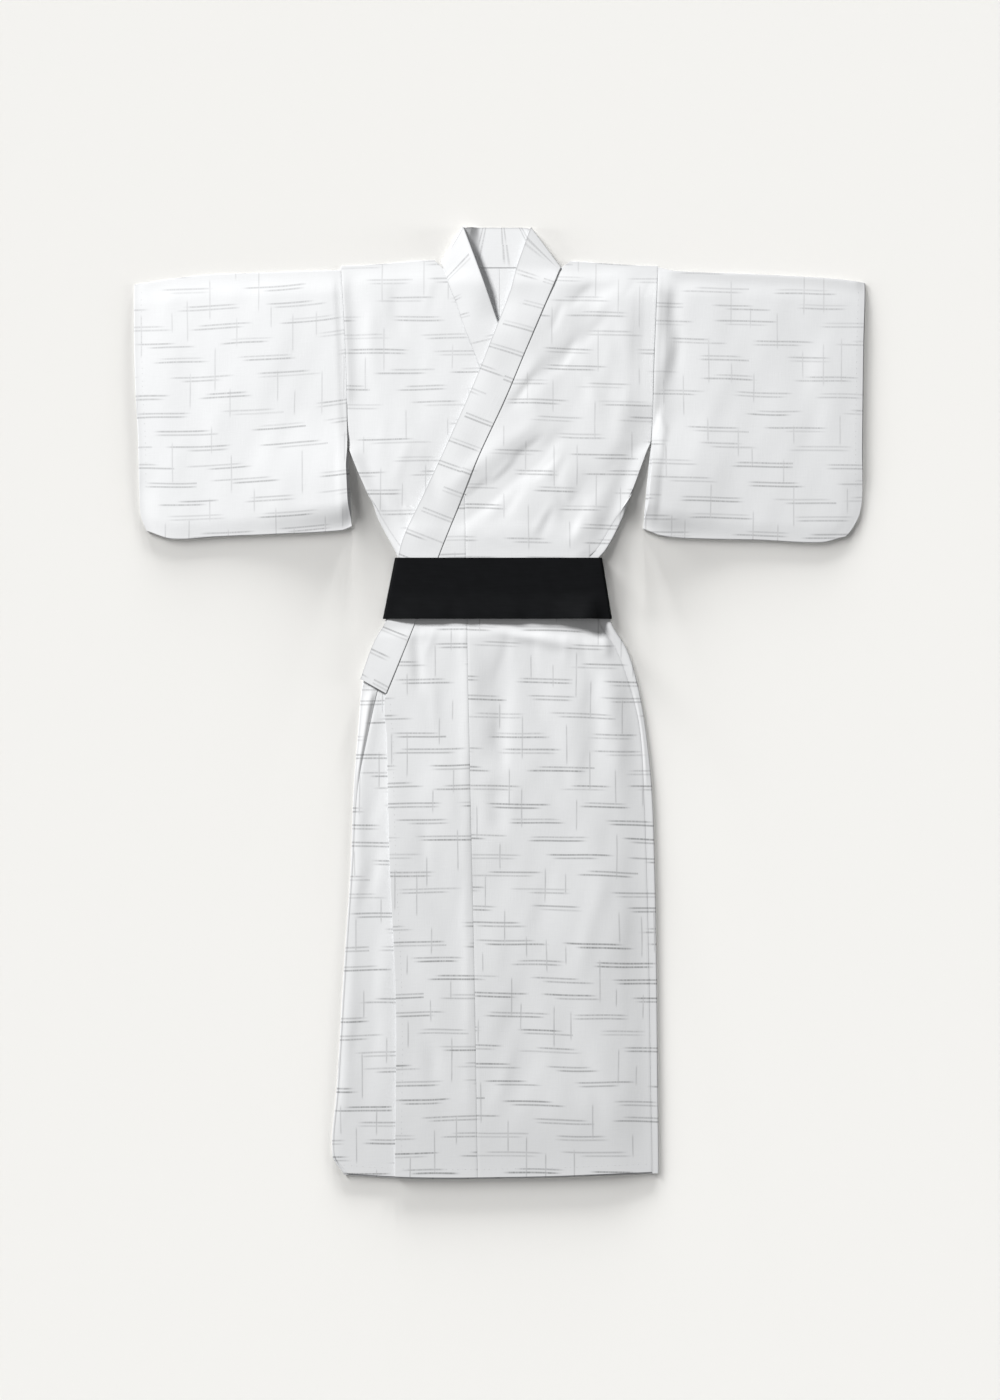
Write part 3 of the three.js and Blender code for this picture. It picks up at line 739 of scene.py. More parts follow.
def kasuri_mask(tree, across, length, row_gap, pitch, warp_gap, warp_force):
    """Strength of the woven marks at a point of the flat cloth, in millimetres.

    Marks of the weft are pairs of thin lines in rows. The rows repeat up the cloth, each
    set over by a quarter of a pitch, and a hash of the row and place moves, shortens and
    lightens each line. Marks of the warp are single lines at uneven places.
    """
    row, in_row = repeat(tree, length, row_gap)
    set_over = add(tree, MATH, [row, pitch / 4, across], operation="MULTIPLY_ADD")
    slot, in_slot = repeat(tree, set_over, pitch)
    of_pair = chances(tree, slot, row, PAIR_KEY)
    pair_shown = add(tree, MATH, [of_pair[2], PAIRS_LEFT_OUT], operation="GREATER_THAN")
    marks = []
    for line in (0, 1):
        own = chances(tree, slot, row, LINE_KEY + line)
        start = row_gap / 2 - ROW_DRIFT / 2 + (line - 0.5) * PAIR_APART
        centre = add(tree, MATH, [of_pair[0], ROW_DRIFT, start], operation="MULTIPLY_ADD")
        middle = add(tree, MATH, [own[0], LINE_DRIFT, (pitch - LINE_DRIFT) / 2],
                     operation="MULTIPLY_ADD")
        middle = add(tree, MATH, [of_pair[1], PAIR_DRIFT, middle], operation="MULTIPLY_ADD")
        reach = add(tree, MATH, [own[1], WEFT_REACH[1], WEFT_REACH[0]], operation="MULTIPLY_ADD")
        force = add(tree, MATH, [own[2], 1 - LEAST_FORCE, LEAST_FORCE], operation="MULTIPLY_ADD")
        mark = woven_line(tree, (in_row, in_slot), (centre, middle), reach, (WEFT_EDGE, WEFT_TIP))
        for weaker in (force, pair_shown):
            mark = add(tree, MATH, [mark, weaker], operation="MULTIPLY")
        marks.append(mark)

    run = row_gap * 4
    lane, in_lane = repeat(tree, across, warp_gap)
    lane_shift = add(tree, "ShaderNodeTexWhiteNoise", {"W": lane}, noise_dimensions="1D")
    shifted = add(tree, MATH, [lane_shift, run, length], operation="MULTIPLY_ADD")
    stretch, in_run = repeat(tree, shifted, run)
    own = chances(tree, lane, stretch, WARP_KEY)
    centre = add(tree, MATH, [own[0], warp_gap * 0.6, warp_gap * 0.2], operation="MULTIPLY_ADD")
    reach = add(tree, MATH, [own[1], WARP_REACH[1], WARP_REACH[0]], operation="MULTIPLY_ADD")
    shown = add(tree, MATH, [own[2], WARP_LEFT_OUT], operation="GREATER_THAN")
    warp = woven_line(tree, (in_lane, in_run), (centre, run / 2), reach, (WARP_EDGE, WARP_TIP))
    for weaker in (shown, warp_force):
        warp = add(tree, MATH, [warp, weaker], operation="MULTIPLY")
    weft = add(tree, MATH, marks, operation="MAXIMUM")
    return add(tree, MATH, [weft, warp], operation="MAXIMUM")


def flat_cloth(tree):
    """Place of a point on the flat cloth, in millimetres."""
    uv = add(tree, "ShaderNodeUVMap", uv_map="cloth")
    return add(tree, VECTOR_MATH, [uv, (1 / MM, 1 / MM, 1.0)], operation="MULTIPLY")


def woven_cotton(name, dash_colour, *spacing):
    """Bleached cotton in plain weave, with grey marks tied and dyed into the yarn.

    The yarn is uneven, so the cloth shows faint streaks both ways and a dull, dry surface.
    The real threads are about 0.45 mm apart, too fine to show, so the slubs are drawn at
    1.6 mm across and 30 mm long.
    """
    material, tree, shader = new_material(name, {
        "Roughness": 0.88, "Specular IOR Level": 0.25, "Sheen Weight": 0.08, "Sheen Roughness": 0.5})
    cloth = flat_cloth(tree)
    # The cloth pulls a little out of true, so its rows are never quite straight.
    wander = add(tree, NOISE, {"Vector": cloth, "Scale": 0.006, "Detail": 1.0}, output="Color")
    wander = add(tree, VECTOR_MATH, [wander, (0.5, 0.5, 0.5)], operation="SUBTRACT")
    cloth = add(tree, VECTOR_MATH, [wander, (6.0, 9.0, 0.0), cloth], operation="MULTIPLY_ADD")
    parts = add(tree, "ShaderNodeSeparateXYZ", [cloth], output=None)
    streaks = []
    for stretch in ((SLUB_FINE, SLUB_LONG, 0.0), (SLUB_LONG, SLUB_FINE, 0.0)):
        drawn_out = add(tree, VECTOR_MATH, [cloth, stretch], operation="MULTIPLY")
        streaks.append(add(tree, NOISE, {
            "Vector": drawn_out, "Scale": 1.0, "Detail": 3.0, "Roughness": 0.6}))
    slub = add(tree, MATH, streaks, operation="ADD")
    # A Map Range's inputs are the value, the two ends it has and the two it gets.
    tone = add(tree, MAP_RANGE, [slub, 0.7, 1.3, 0.965, 1.0])
    base = add(tree, VECTOR_MATH, {0: linear(CLOTH_WHITE)[:3], "Scale": tone}, operation="SCALE")

    mask = kasuri_mask(tree, parts[0], parts[1], *spacing)
    ragged = add(tree, MAP_RANGE, [streaks[0], 0.35, 0.6, 0.5, 1.0])
    # The marks are drawn weaker on the shoulders and sleeves than on the skirt.
    flat_place = add(tree, VECTOR_MATH, [
        add(tree, "ShaderNodeTexCoord", output="Object"), (1.0, 1.0, 0.0)], operation="MULTIPLY")
    place = add(tree, "ShaderNodeSeparateXYZ", [flat_place], output=None)
    weaker_up = add(tree, MAP_RANGE, [place[1], -0.3, 0.7, 1.0, 0.62])
    # Inside the neck the cloth is seen from its back, where the marks hardly show.
    from_neck = add(tree, VECTOR_MATH, [flat_place, (-0.015, 0.742, 0.0)], operation="DISTANCE",
                    output=1)
    outside = add(tree, MAP_RANGE, [from_neck, 0.05, 0.066, 0.0, 1.0],
                  interpolation_type="SMOOTHSTEP")
    for weaker in (ragged, weaker_up, outside):
        mask = add(tree, MATH, [mask, weaker], operation="MULTIPLY")
    # Painted shade: the seam attribute mixes grey into the cloth along seams, folds and edges, in place
    # of the shade that would fall there.
    seam = add(tree, "ShaderNodeAttribute", attribute_name="seam", output="Fac")
    seam = add(tree, MATH, [seam, 0.12], operation="MULTIPLY")
    for factor, colour in ((mask, (*dash_colour, 1.0)), (seam, linear(PAINTED_SHADE_GREY))):
        base = add(tree, "ShaderNodeMix", {"Factor": factor, 6: base, 7: colour}, output=2,
                   data_type="RGBA")
    tree.links.new(base, shader.inputs["Base Color"])
    bump = add(tree, "ShaderNodeBump", {"Height": slub, "Strength": 0.35, "Distance": 0.00035})
    tree.links.new(bump, shader.inputs["Normal"])
    return material


def belt_cloth(settings):
    """Black ribbed cotton, as a half-width belt is woven: dull, with a faint rib across it.

    The ribs are about 1 mm apart. They are drawn 2.4 mm apart, so that they show.
    """
    material, tree, shader = new_material(
        BELT_STUFF, {"Roughness": 0.82, "Specular IOR Level": 0.12})
    cloth = flat_cloth(tree)
    ribbed = add(tree, VECTOR_MATH, [cloth, (0.02, 0.42, 0.0)], operation="MULTIPLY")
    rib = add(tree, NOISE, {"Vector": ribbed, "Scale": 1.0, "Detail": 2.0})
    mottle = add(tree, NOISE, {"Vector": cloth, "Scale": 0.05, "Detail": 3.0})
    both = add(tree, MATH, [rib, mottle], operation="ADD")
    tone = add(tree, MAP_RANGE, [both, 0.7, 1.3, 0.8, 1.2])
    base = add(tree, VECTOR_MATH, {0: tuple(settings.belt_colour), "Scale": tone},
               operation="SCALE")
    tree.links.new(base, shader.inputs["Base Color"])
    bump = add(tree, "ShaderNodeBump", {"Height": rib, "Strength": 0.3, "Distance": 0.0003})
    tree.links.new(bump, shader.inputs["Normal"])
    return material


def sewing_thread():
    """Twisted white cotton sewing thread: dull, a shade darker than the cloth it lies on."""
    material, tree, shader = new_material(THREAD, {"Roughness": 0.8})
    place = add(tree, "ShaderNodeTexCoord", output="Object")
    twist = add(tree, NOISE, {"Vector": place, "Scale": 900.0})
    tone = add(tree, MAP_RANGE, {"Value": twist, "To Min": 0.8, "To Max": 1.0})
    base = add(tree, VECTOR_MATH, {0: linear(THREAD_WHITE)[:3], "Scale": tone}, operation="SCALE")
    tree.links.new(base, shader.inputs["Base Color"])
    return material


def fetch_material(name, make):
    """The material of a name, made on first use."""
    return bpy.data.materials.get(name) or make()


def cotton(settings):
    """The cloth of the body, panels and sleeves."""
    return fetch_material(COTTON, lambda: woven_cotton(
        COTTON, settings.dash_colour, settings.row_gap / MM, settings.dash_pitch / MM,
        settings.warp_gap / MM, WARP_FORCE))


def collar_cotton(settings):
    """The same cloth cut for the collar, where the rows of marks cross the whole band."""
    return fetch_material(COLLAR_COTTON, lambda: woven_cotton(
        COLLAR_COTTON, settings.dash_colour, settings.collar_gap / MM, COLLAR_PITCH,
        settings.warp_gap / MM, 0.0))


# ------------------------------------------------------------------ pieces


def front_points(side, x, height, lift):
    """Points of one front, lifted by a length off the middle of its cloth."""
    return np.stack([x, hemmed(x, height, HEM_TUCK), FRONT_Z[side](x, height) + lift], axis=-1)


def both_ends(table, side, height):
    """x of a side's seam and of its edge, from the columns of a table."""
    return [along(table, "height", f"{OWN[side]}_{end}", height) for end in ("seam", "edge")]


def body_back(side):
    """The back of one half, by rows across it: flat cloth, then a curl, then a flap.

    Below the armhole the edge curls over by a half circle that reaches up to the front, and
    lies on the front as far as the side seam. The curl is a sum of short steps whose
    direction turns evenly, and it opens out flat towards the armhole.
    """
    neck_x, neck_height = NECK[side]
    # Places along the cloth, and where its inner end and its side are there.
    place = [0, 1480, 1560, 1640, 1680, 1700, 1715]
    middle_x = [side * SEAM / 2] * 4 + [side * 70, neck_x - side * 14, neck_x]
    middle_height = [0, 1480, 1560, 1640 - SEAM, 1640 - 2 * SEAM, neck_height - 14, neck_height - 6]
    side_height = [0, 1480, 1540, 1585, 1615, 1628, SHOULDER - 3]
    steps = np.unique(np.concatenate([EDGE_ROWS, np.arange(8, 1715, 11.0), place]))
    inner_x, inner_height, height = (
        np.interp(steps, place, values)[:, None] for values in (middle_x, middle_height, side_height))
    seam, edge = both_ends(SIDES, side, height)
    curl = math.pi * (1 - ease(*UNDERARM, height))
    lap = curl / math.pi
    radius = (FRONT_Z[side](edge - side * seam, height) - back_z(height)) / 2
    flap = np.maximum(seam - radius - SEAM / 2, 1.0)
    start = np.abs(edge) - mix(math.pi * radius + flap, radius, lap)
    t = edged(50, BACK_WIDE)[:-3]
    t = t / t[-1]
    x = mix(inner_x, side * start, t)
    y = mix(inner_height, height, t)
    flat = np.stack([x, hemmed(x, y), back_z(y)], axis=-1)

    angle = curl * (np.arange(CURL_STEPS) + 0.5) / CURL_STEPS
    step = math.pi * radius / CURL_STEPS
    curl_x = start + np.cumsum(np.cos(angle), axis=1) * step
    curl_z = back_z(height) + np.cumsum(np.sin(angle), axis=1) * step
    t = np.array([0.15, 0.35, 0.5, 0.6, 0.72, 0.85, 0.95, 1.0])
    flap_x = curl_x[:, -1:] + np.cos(curl) * flap * t
    flap_z = curl_z[:, -1:] + np.sin(curl) * flap * t
    # At the hips the curled edge is slack: it stands up and drops steeply to its seam.
    slack = SLACK[side] * flap * ease(690, 750, height) * ease(886, 856, height)
    flap_z = flap_z + slack * ease(0, 0.62, t) * ease(1, 0.6, t)
    x = side * np.hstack([curl_x, flap_x])
    bent = np.stack([x, hemmed(x, height), np.hstack([curl_z, flap_z])], axis=-1)
    # Painted shade on the curl, and in the side seam at the flap's end.
    shade = np.hstack([
        np.zeros(flat.shape[:2]), np.broadcast_to(CURL_SHADE * lap, curl_x.shape),
        seam_shade(flap * (1 - t)) * lap,
    ])
    return np.hstack([flat, bent]), shade


def body_shoulder(side, count):
    """A half circle over the shoulder, from the last row of the back to the front."""
    neck_x, neck_height = NECK[side]
    t = edged(count, SHOULDER_WIDE)
    x = mix(neck_x, along(SIDES, "height", OWN[side] + "_edge", SHOULDER), t)
    y = mix(neck_height, SHOULDER, ease(0, 1, t))
    half = (FRONT_Z[side](x, y) - BACK_Z) / 2
    turn = HALF_TURN[:, None]
    fold = np.stack(np.broadcast_arrays(
        x, y + np.sin(turn) * half, BACK_Z + half * (1 - np.cos(turn))), axis=-1)
    # The whole fold over the shoulder gets painted shade, so its edge does not show bright.
    return fold, np.full(fold.shape[:2], SHOULDER_SHADE)


def body_front(side, count):
    """The front, by rows across it from the collar or the panel to the side seam."""
    top = PANEL_TOP[OWN[side]]
    heights = np.unique(np.concatenate([
        EDGE_ROWS, [top, top + SEAM], np.arange(8, 1616, ROW_STEP)]))[::-1]
    band = along(COLLARS[side], "seam_height", "seam_x", heights) + side * SEAM
    inner = np.where(heights > top, band, both_ends(OVERLAPS, side, heights)[0])
    # Three rows lead from the shoulder to the first one that follows the collar.
    lead = np.array([0.0, 0.5, 1.0])
    inner = np.concatenate([band[0] + side * mix(6.0, 1.0, lead), inner])[:, None]
    height = np.concatenate([mix(1636.0, 1620.0, lead), heights])[:, None]
    seam, edge = both_ends(SIDES, side, height)
    sewn = 1 - ease(*UNDERARM, height)
    outer = edge - side * mix(0, seam + SEAM / 2, sewn)
    x = mix(inner, outer, edged(count, SHOULDER_WIDE))
    joined = np.maximum(sewn, ease(ARMHOLE_LOW - 6, ARMHOLE_LOW, height))
    # shade sinks the cloth a little at its seams and is also drawn there as painted shade.
    shade = np.maximum(seam_shade(outer - x) * joined, seam_shade(x - inner))
    return front_points(side, x, height, -SEAM_DIP * shade), shade


def body_half(side, settings):
    """One half of the body, a single cloth from the back hem over the shoulder to the front.

    The first parameter goes along the length, the second from the inner edge to the side.
    """
    own = OWN[side]
    back = body_back(side)
    count = back[0].shape[1]
    parts = zip(back, body_shoulder(side, count), body_front(side, count))
    middle, shade = (np.concatenate(part) for part in parts)
    flat_map = cut_from(f"body_{own}", middle[..., 0], middle[..., 1])
    piece = cloth_wall(f"cloth_body_{own}", middle, CLOTH, flat_map, shade, cotton(settings))
    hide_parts(f"body_{own}")
    return piece


def overlap_panel(side, settings):
    """A long narrow panel: rows across it from the seam with the front to its free edge.

    Above the collar's end the outer edge follows the collar's seam, so the panel runs out
    to a point.
    """
    own = OWN[side]
    top = PANEL_TOP[own]
    height = np.unique(np.concatenate([
        EDGE_ROWS, [COLLAR_END - 1, COLLAR_END, top], np.arange(8, top, ROW_STEP)]))[:, None]
    band = along(COLLARS[side], "seam_height", "seam_x", height) + side * SEAM
    seam, edge = both_ends(OVERLAPS, side, height)
    seam = seam - side * SEAM
    edge = np.where(height >= COLLAR_END, band, edge)
    x = mix(seam, edge, edged(34, PANEL_WIDE))
    by_collar = ease(COLLAR_END - 2, COLLAR_END, height)
    # shade sinks the cloth a little at its seams and is also drawn there as painted shade.
    shade = np.maximum(seam_shade(x - seam), seam_shade(x - edge) * by_collar)
    middle = front_points(side, x, height, -SEAM_DIP * shade)
    flat_map = cut_from(f"overlap_{own}", middle[..., 0], middle[..., 1])
    piece = cloth_wall(f"cloth_overlap_{own}", middle, CLOTH, flat_map, shade, cotton(settings))
    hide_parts(f"overlap_{own}")
    return piece


def sleeve_ends(side, part):
    """Heights of a sleeve's bottom and top at a part of the way to the cuff."""
    return [along(SLEEVES[side][end], "part", "height", part) for end in ("bottom", "top")]


def sleeve_place(side, part, height):
    """x of a point of a sleeve: a part of the way from the armhole to the cuff."""
    inner, outer = (along(SLEEVES[side][end], "height", "x", height) for end in ("inner", "outer"))
    armhole = both_ends(SIDES, side, height)[1] + side * 2 * SEAM
    return mix(np.where(height >= ARMHOLE_LOW, armhole, inner), outer, part)


def sleeve_front(side, part, height):
    """Middle of a sleeve's front: puffed, flat at its ends, and open beside the body."""
    bottom, top = sleeve_ends(side, part)
    x = sleeve_place(side, part, height)
    ends = ease(bottom - 5, bottom + 34, height) * ease(top, top - 45, height)
    cuff = mix(0.55, 1, ease(1, 0.8, part)) * mix(
        ease(1, 0.9, part), 1, ease(CUFF_LOW - 20, CUFF_LOW + 30, height))
    puff = SLEEVE_PUFF + fold_rise(SLEEVES[side]["folds"], x, height) + 0.8 * puckers(x, height)
    pressed = (LAYER - CLOTH - CLEAR) * ease(0.9, 1, part) * ease(
        CUFF_LOW + 30, CUFF_LOW - 20, height)
    gape = (SLEEVE_GAPE * ease(0.5, 0, part) + SLEEVES[side]["lip"] * ease(0.06, 0, part)) * ease(
        bottom + 4, bottom + 50, height) * ease(ARMHOLE_LOW + 60, ARMHOLE_LOW - 80, height)
    held = SLEEVES[side]["held"] * ease(1345, 1400, height)
    loft = lifted(puff) * ends * np.maximum(ease(0, 0.045, part), held) * cuff
    # The fold along the top of the sleeve is rolled, not pressed.
    rolled = SLEEVES[side]["roll"] * np.exp(-(((top - height) / 14) ** 2)) * ease(
        0, 0.08, part) * ease(1, 0.95, part)
    return BACK_Z + LAYER - pressed + loft + gape + rolled


def sleeve_tuck(side, part, height, low):
    """How far the front's edges are drawn in from the back's, at the cuff and by the body."""
    cuff = side * 1.5 * ease(0.8, 1, part) * ease(CUFF_LOW - 30, CUFF_LOW + 60, height)
    opening = side * 5.0 * ease(0.2, 0, part) * ease(low, low + 50, height) * ease(
        ARMHOLE_LOW, ARMHOLE_LOW - 50, height)
    return cuff - opening


def sleeve(side, settings):
    """A sleeve as a flattened ring: the back, the top fold, the front, and the bottom seam.

    The first parameter goes from the armhole to the cuff, the second round the ring.
    """
    own = OWN[side]
    part = edged(96, SLEEVE_WIDE)[:, None]
    bottom, top = sleeve_ends(side, part)
    back_steps = np.linspace(0, 1, 40)
    front_steps = edged(110, SLEEVE_DEEP)[::-1]
    half_low, half_high = ((sleeve_front(side, part, end) - BACK_Z) / 2 for end in (bottom, top))
    low = bottom + half_low + CLOTH / 2
    high = top - half_high - CLOTH / 2
    y_back = mix(low, high, back_steps)
    y_front = mix(low, high, front_steps)
    turn = HALF_TURN
    x = np.hstack([
        sleeve_place(side, part, y_back),
        np.broadcast_to(sleeve_place(side, part, top), (len(part), len(turn))),
        sleeve_place(side, part, y_front) - sleeve_tuck(side, part, y_front, low),
        np.broadcast_to(sleeve_place(side, part, bottom), (len(part), len(turn))),
    ])
    y = np.hstack([y_back, high + half_high * np.sin(turn), y_front, low - half_low * np.sin(turn)])
    z = np.hstack([
        np.full(y_back.shape, BACK_Z), BACK_Z + half_high * (1 - np.cos(turn)),
        sleeve_front(side, part, y_front), BACK_Z + half_low * (1 + np.cos(turn)),
    ])
    fold_end = len(back_steps) + len(turn)
    # Painted shade along the top fold, at the armhole seam and by the cuff. In the front it also sinks
    # the cloth.
    rim = np.zeros(z.shape[1])
    rim[len(back_steps):fold_end] = RIM_SHADE
    armhole = seam_shade(part * SLEEVE_WIDE) * ease(ARMHOLE_LOW - 4, ARMHOLE_LOW + 2, y)
    shade = np.maximum(np.maximum(armhole, rim), CUFF_SHADE * ease(0.96, 1, part))
    z[:, fold_end:-len(turn)] -= SEAM_DIP * shade[:, fold_end:-len(turn)]
    # The right sleeve's rows bend down where they meet the armhole.
    droop = -14.0 * np.exp((270.0 + x) / 110.0) if side < 0 else 0.0
    flat_map = cut_from(f"sleeve_{own}", x, y + droop)
    flat_map = np.hstack([flat_map, flat_map[:, :1]])
    middle = np.stack([x, y, z], axis=-1)
    piece = cloth_wall(f"cloth_sleeve_{own}", middle, CLOTH, flat_map, shade, cotton(settings), ring=True)
    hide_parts(f"sleeve_{own}")
    return piece


def collar_band(settings):
    """The collar: sections across the band, up one front, round the neck, down the other.

    At each side of the neck the band turns over by a half circle about a slanting line.
    """
    across = edged(22, BAND_WIDE)
    raise_by = (COLLAR_CLOTH - CLOTH) / 2
    low = COLLAR_CLOTH / 2

    def sections(seam, free):
        """Rows across the band, straight from the seam to the free edge."""
        return mix(seam[:, None, :], free[:, None, :], across[None, :, None])

    def stand(side, height):
        """The band stands up beside the neck: the free edge of the under one, all of the top one."""
        if side < 0:
            return UNDER_STAND * ease(1540, 1650, height) * across ** 1.3
        return TOP_STAND * ease(1570, 1640, height) * (0.4 + 0.6 * across)

    def back_rise(x):
        """The back of the band climbs to the turned-over edge of the under front."""
        return BACK_CLIMB * ease(-34, -62, x) * across

    def turned(side, angles):
        """The turn beside the neck: a half circle pushed out along the front's shoulder."""
        shape = TURNS[side]
        out = np.array(shape["out"]) * TURN_OUT * np.sin(angles)[:, None]
        flat = sections(np.array(shape["seam"]) + out, np.array(shape["free"]) + out)
        x, y = flat[..., 0], flat[..., 1]
        front = FRONT_Z[side](x, y) + raise_by + stand(side, y)
        z = mix(low + back_rise(x), front, ((1 - np.cos(angles)) / 2)[:, None])
        return np.concatenate([flat, z[..., None]], axis=-1)

    def laid(side, levels):
        """The band on one front, with a low crown along its middle."""
        flat = sections(*collar_at(side, levels))
        x, y = flat[..., 0], flat[..., 1]
        crown = 0.5 * np.sin(across * math.pi) + 0.25 + 0.25 * ripple(x, y, 17)
        crown = crown * looseness(y) * (ease(1440, 1500, y) if side < 0 else 1)
        z = FRONT_Z[side](x, y) + raise_by + crown + stand(side, y)
        return np.concatenate([flat, z[..., None]], axis=-1)

    def behind_neck():
        """The band on the back, between its two turns."""
        t = np.linspace(0, 1, 40)
        row = np.linspace(0, 1, len(BACK_COLLAR["seam_x"]))
        ends = np.stack([np.interp(t, row, BACK_COLLAR[name]) for name in BAND], axis=-1)
        flat = sections(ends[:, :2], ends[:, 2:])
        return np.concatenate([flat, (low + back_rise(flat[..., 0]))[..., None]], axis=-1)

    levels = np.unique(np.concatenate([
        [COLLAR_END, COLLAR_END + 0.6, COLLAR_END + 1.8], np.arange(COLLAR_END + 4, NECK_ROW, ROW_STEP),
        [NECK_ROW]]))
    angles = np.linspace(0.06, 0.94, 11) * math.pi
    middle = np.concatenate([
        laid(1, levels), turned(1, angles[::-1]), behind_neck(), turned(-1, angles),
        laid(-1, levels[::-1]),
    ])
    centre = middle[:, len(across) // 2]
    length = np.concatenate([[0], np.cumsum(np.linalg.norm(np.diff(centre, axis=0), axis=1))])
    # Painted shade along the seam edge and, darker, along the free edge, which the light would show
    # bright.
    from_seam = across * BAND_WIDE
    free_edge = FREE_EDGE_SHADE * seam_shade(BAND_WIDE - from_seam, 1.2)
    shade = np.broadcast_to(np.maximum(seam_shade(from_seam, 1.2), free_edge), middle.shape[:2])
    flat_map = cut_from("collar", from_seam, length[:, None])
    piece = cloth_wall("cloth_collar", middle, COLLAR_CLOTH, flat_map, shade, collar_cotton(settings))
    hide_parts("collar")
    return piece


def belt_band(settings):
    """The belt: a strip carried once round the waist along a flattened loop.

    The first parameter goes up the strip's width, the second along the loop: the lap at
    the back, a half circle at each side, and the straight front. The front's lower edge
    stands off the skirt, most at the wearer's left hip, by a bell along it.
    """
    floor = BELT_CLOTH / 2
    lap_z = floor + BELT_CLOTH + CLEAR
    front_z = BACK_Z + BELT_LIFT + LAYER + OVER_COLLAR + COLLAR_CLOTH - CLOTH / 2 + CLEAR + floor
    radius = (front_z - floor) / 2
    part = edged(34, BELT_HIGH - BELT_LOW)[:, None]
    y = mix(BELT_LOW, BELT_HIGH, part)
    start = mix(-210.0, -188.0, part) + radius + floor
    end = mix(202.5, 184.5, part) - radius - floor
    lap_end = BELT_LAP + 5
    drop_end = BELT_LAP + 35
    drop = np.linspace(lap_end, drop_end, 12)[1:]
    turn = np.linspace(0, 1, 14)[1:-1] * math.pi
    run = np.linspace(0, 1, 60)
    across = mix(end, start, run)
    flare = BELT_FLARE + HIP_FLARE * np.exp(-(((run - 0.12) / 0.1) ** 2))
    flare = flare * ease(0.45, 0, part) * (1 + 0.3 * ripple(across, 0, 9))
    flare = flare * ease(0.01, 0.07, run) * ease(1, 0.9, run)
    sag = 0.25 * ripple(across, y, 37) * np.sin(run * math.pi)
    loop = (
        (np.linspace(-BELT_LAP, lap_end, 10), lap_z),
        (drop, mix(lap_z, floor, ease(lap_end, drop_end, drop))),
        (mix(drop_end, end, np.linspace(0, 1, 20)[1:]), floor),
        (end + radius * np.sin(turn), floor + radius * (1 - np.cos(turn))),
        (across, front_z + sag + flare),
        (start - radius * np.sin(turn), floor + radius * (1 + np.cos(turn))),
        (mix(start, BELT_LAP, np.linspace(0, 1, 30)), floor),
    )
    middle = np.hstack([np.stack(np.broadcast_arrays(x, y, z), axis=-1) for x, z in loop])
    steps = np.linalg.norm(np.diff(middle, axis=1), axis=-1)
    length = np.hstack([np.zeros(part.shape), np.cumsum(steps, axis=1)])
    flat_map = np.stack([length, middle[..., 1]], axis=-1)
    material = fetch_material(BELT_STUFF, lambda: belt_cloth(settings))
    piece = cloth_wall("belt_band", middle, BELT_CLOTH, flat_map, np.zeros(length.shape), material)
    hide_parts("belt")
    return piece


def on_sleeve(side, part, height):
    """A point of a sleeve's outer face."""
    bottom = sleeve_ends(side, part)[0]
    x = sleeve_place(side, part, height) - sleeve_tuck(side, part, height, bottom)
    return np.stack([x, height, sleeve_front(side, part, height) + CLOTH / 2], axis=-1)


def hem_lines(spacing):
    """Points along every hem, a little unevenly spaced, as sewing by hand is."""
    def steps(start, end):
        """Even places from start to end, each moved by a sine of its number."""
        count = int(abs(end - start) / spacing)
        number = np.arange(count)
        return mix(start, end, (number + 0.5) / count) + 0.12 * spacing * np.sin(number * 2.39 + start)

    lines = []
    for side, start, end in ((1, -180, 268), (-1, -284, -196)):
        x = steps(start, end)
        lines.append(front_points(side, x, np.full(x.shape, HEM_LINE), CLOTH / 2))
    height = steps(30, COLLAR_END - 14)
    x = both_ends(OVERLAPS, 1, height)[1] + PANEL_LINE
    lines.append(front_points(1, x, height, CLOTH / 2))
    height = steps(CUFF_LOW - 10, 1600)
    for side in (-1, 1):
        lines.append(on_sleeve(side, np.full(height.shape, 1 - CUFF_LINE / SLEEVE_WIDE), height))
    return lines


def hem_stitches(settings):
    """Small slip stitches: each is a thin eight-sided lens along the hem line.

    The lens's half width is the root of the cosine of the way along it, and it sinks into
    the cloth at both ends.
    """
    lines = hem_lines(settings.stitch_spacing / MM)
    ways = np.concatenate([np.gradient(line, axis=0) for line in lines])
    ways = ways / np.linalg.norm(ways, axis=1, keepdims=True)
    centres = np.concatenate(lines)
    rings, sides = 7, 8
    u = np.linspace(-1, 1, rings)
    v = -np.arange(sides) / sides * 2 * math.pi
    girth = (STITCH_GIRTH * np.cos(u * math.pi / 2) ** 0.5 + 0.02)[:, None]
    side_way = np.cross(ways, [0.0, 0.0, 1.0])
    points = (centres[:, None, None, :]
              + ways[:, None, None, :] * (u * STITCH_REACH)[None, :, None, None]
              + side_way[:, None, None, :] * (girth * np.cos(v))[None, :, :, None])
    points[..., 2] += girth * np.sin(v) + 0.12 - 0.3 * u[:, None] ** 2
    index = np.arange(rings * sides).reshape(rings, sides)
    caps = (index[0], index[-1, ::-1])
    index = np.hstack([index, index[:, :1]])
    starts = np.arange(len(centres)) * rings * sides
    faces = (grid_faces(index).reshape(-1, 4) + starts[:, None, None]).reshape(-1, 4).tolist()
    for cap in caps:
        faces += (cap + starts[:, None]).tolist()
    material = fetch_material(THREAD, sewing_thread)
    piece = place_mesh("hem_stitches", points.reshape(-1, 3), faces, material)
    return piece


# ------------------------------------------------------------------ settings and operators

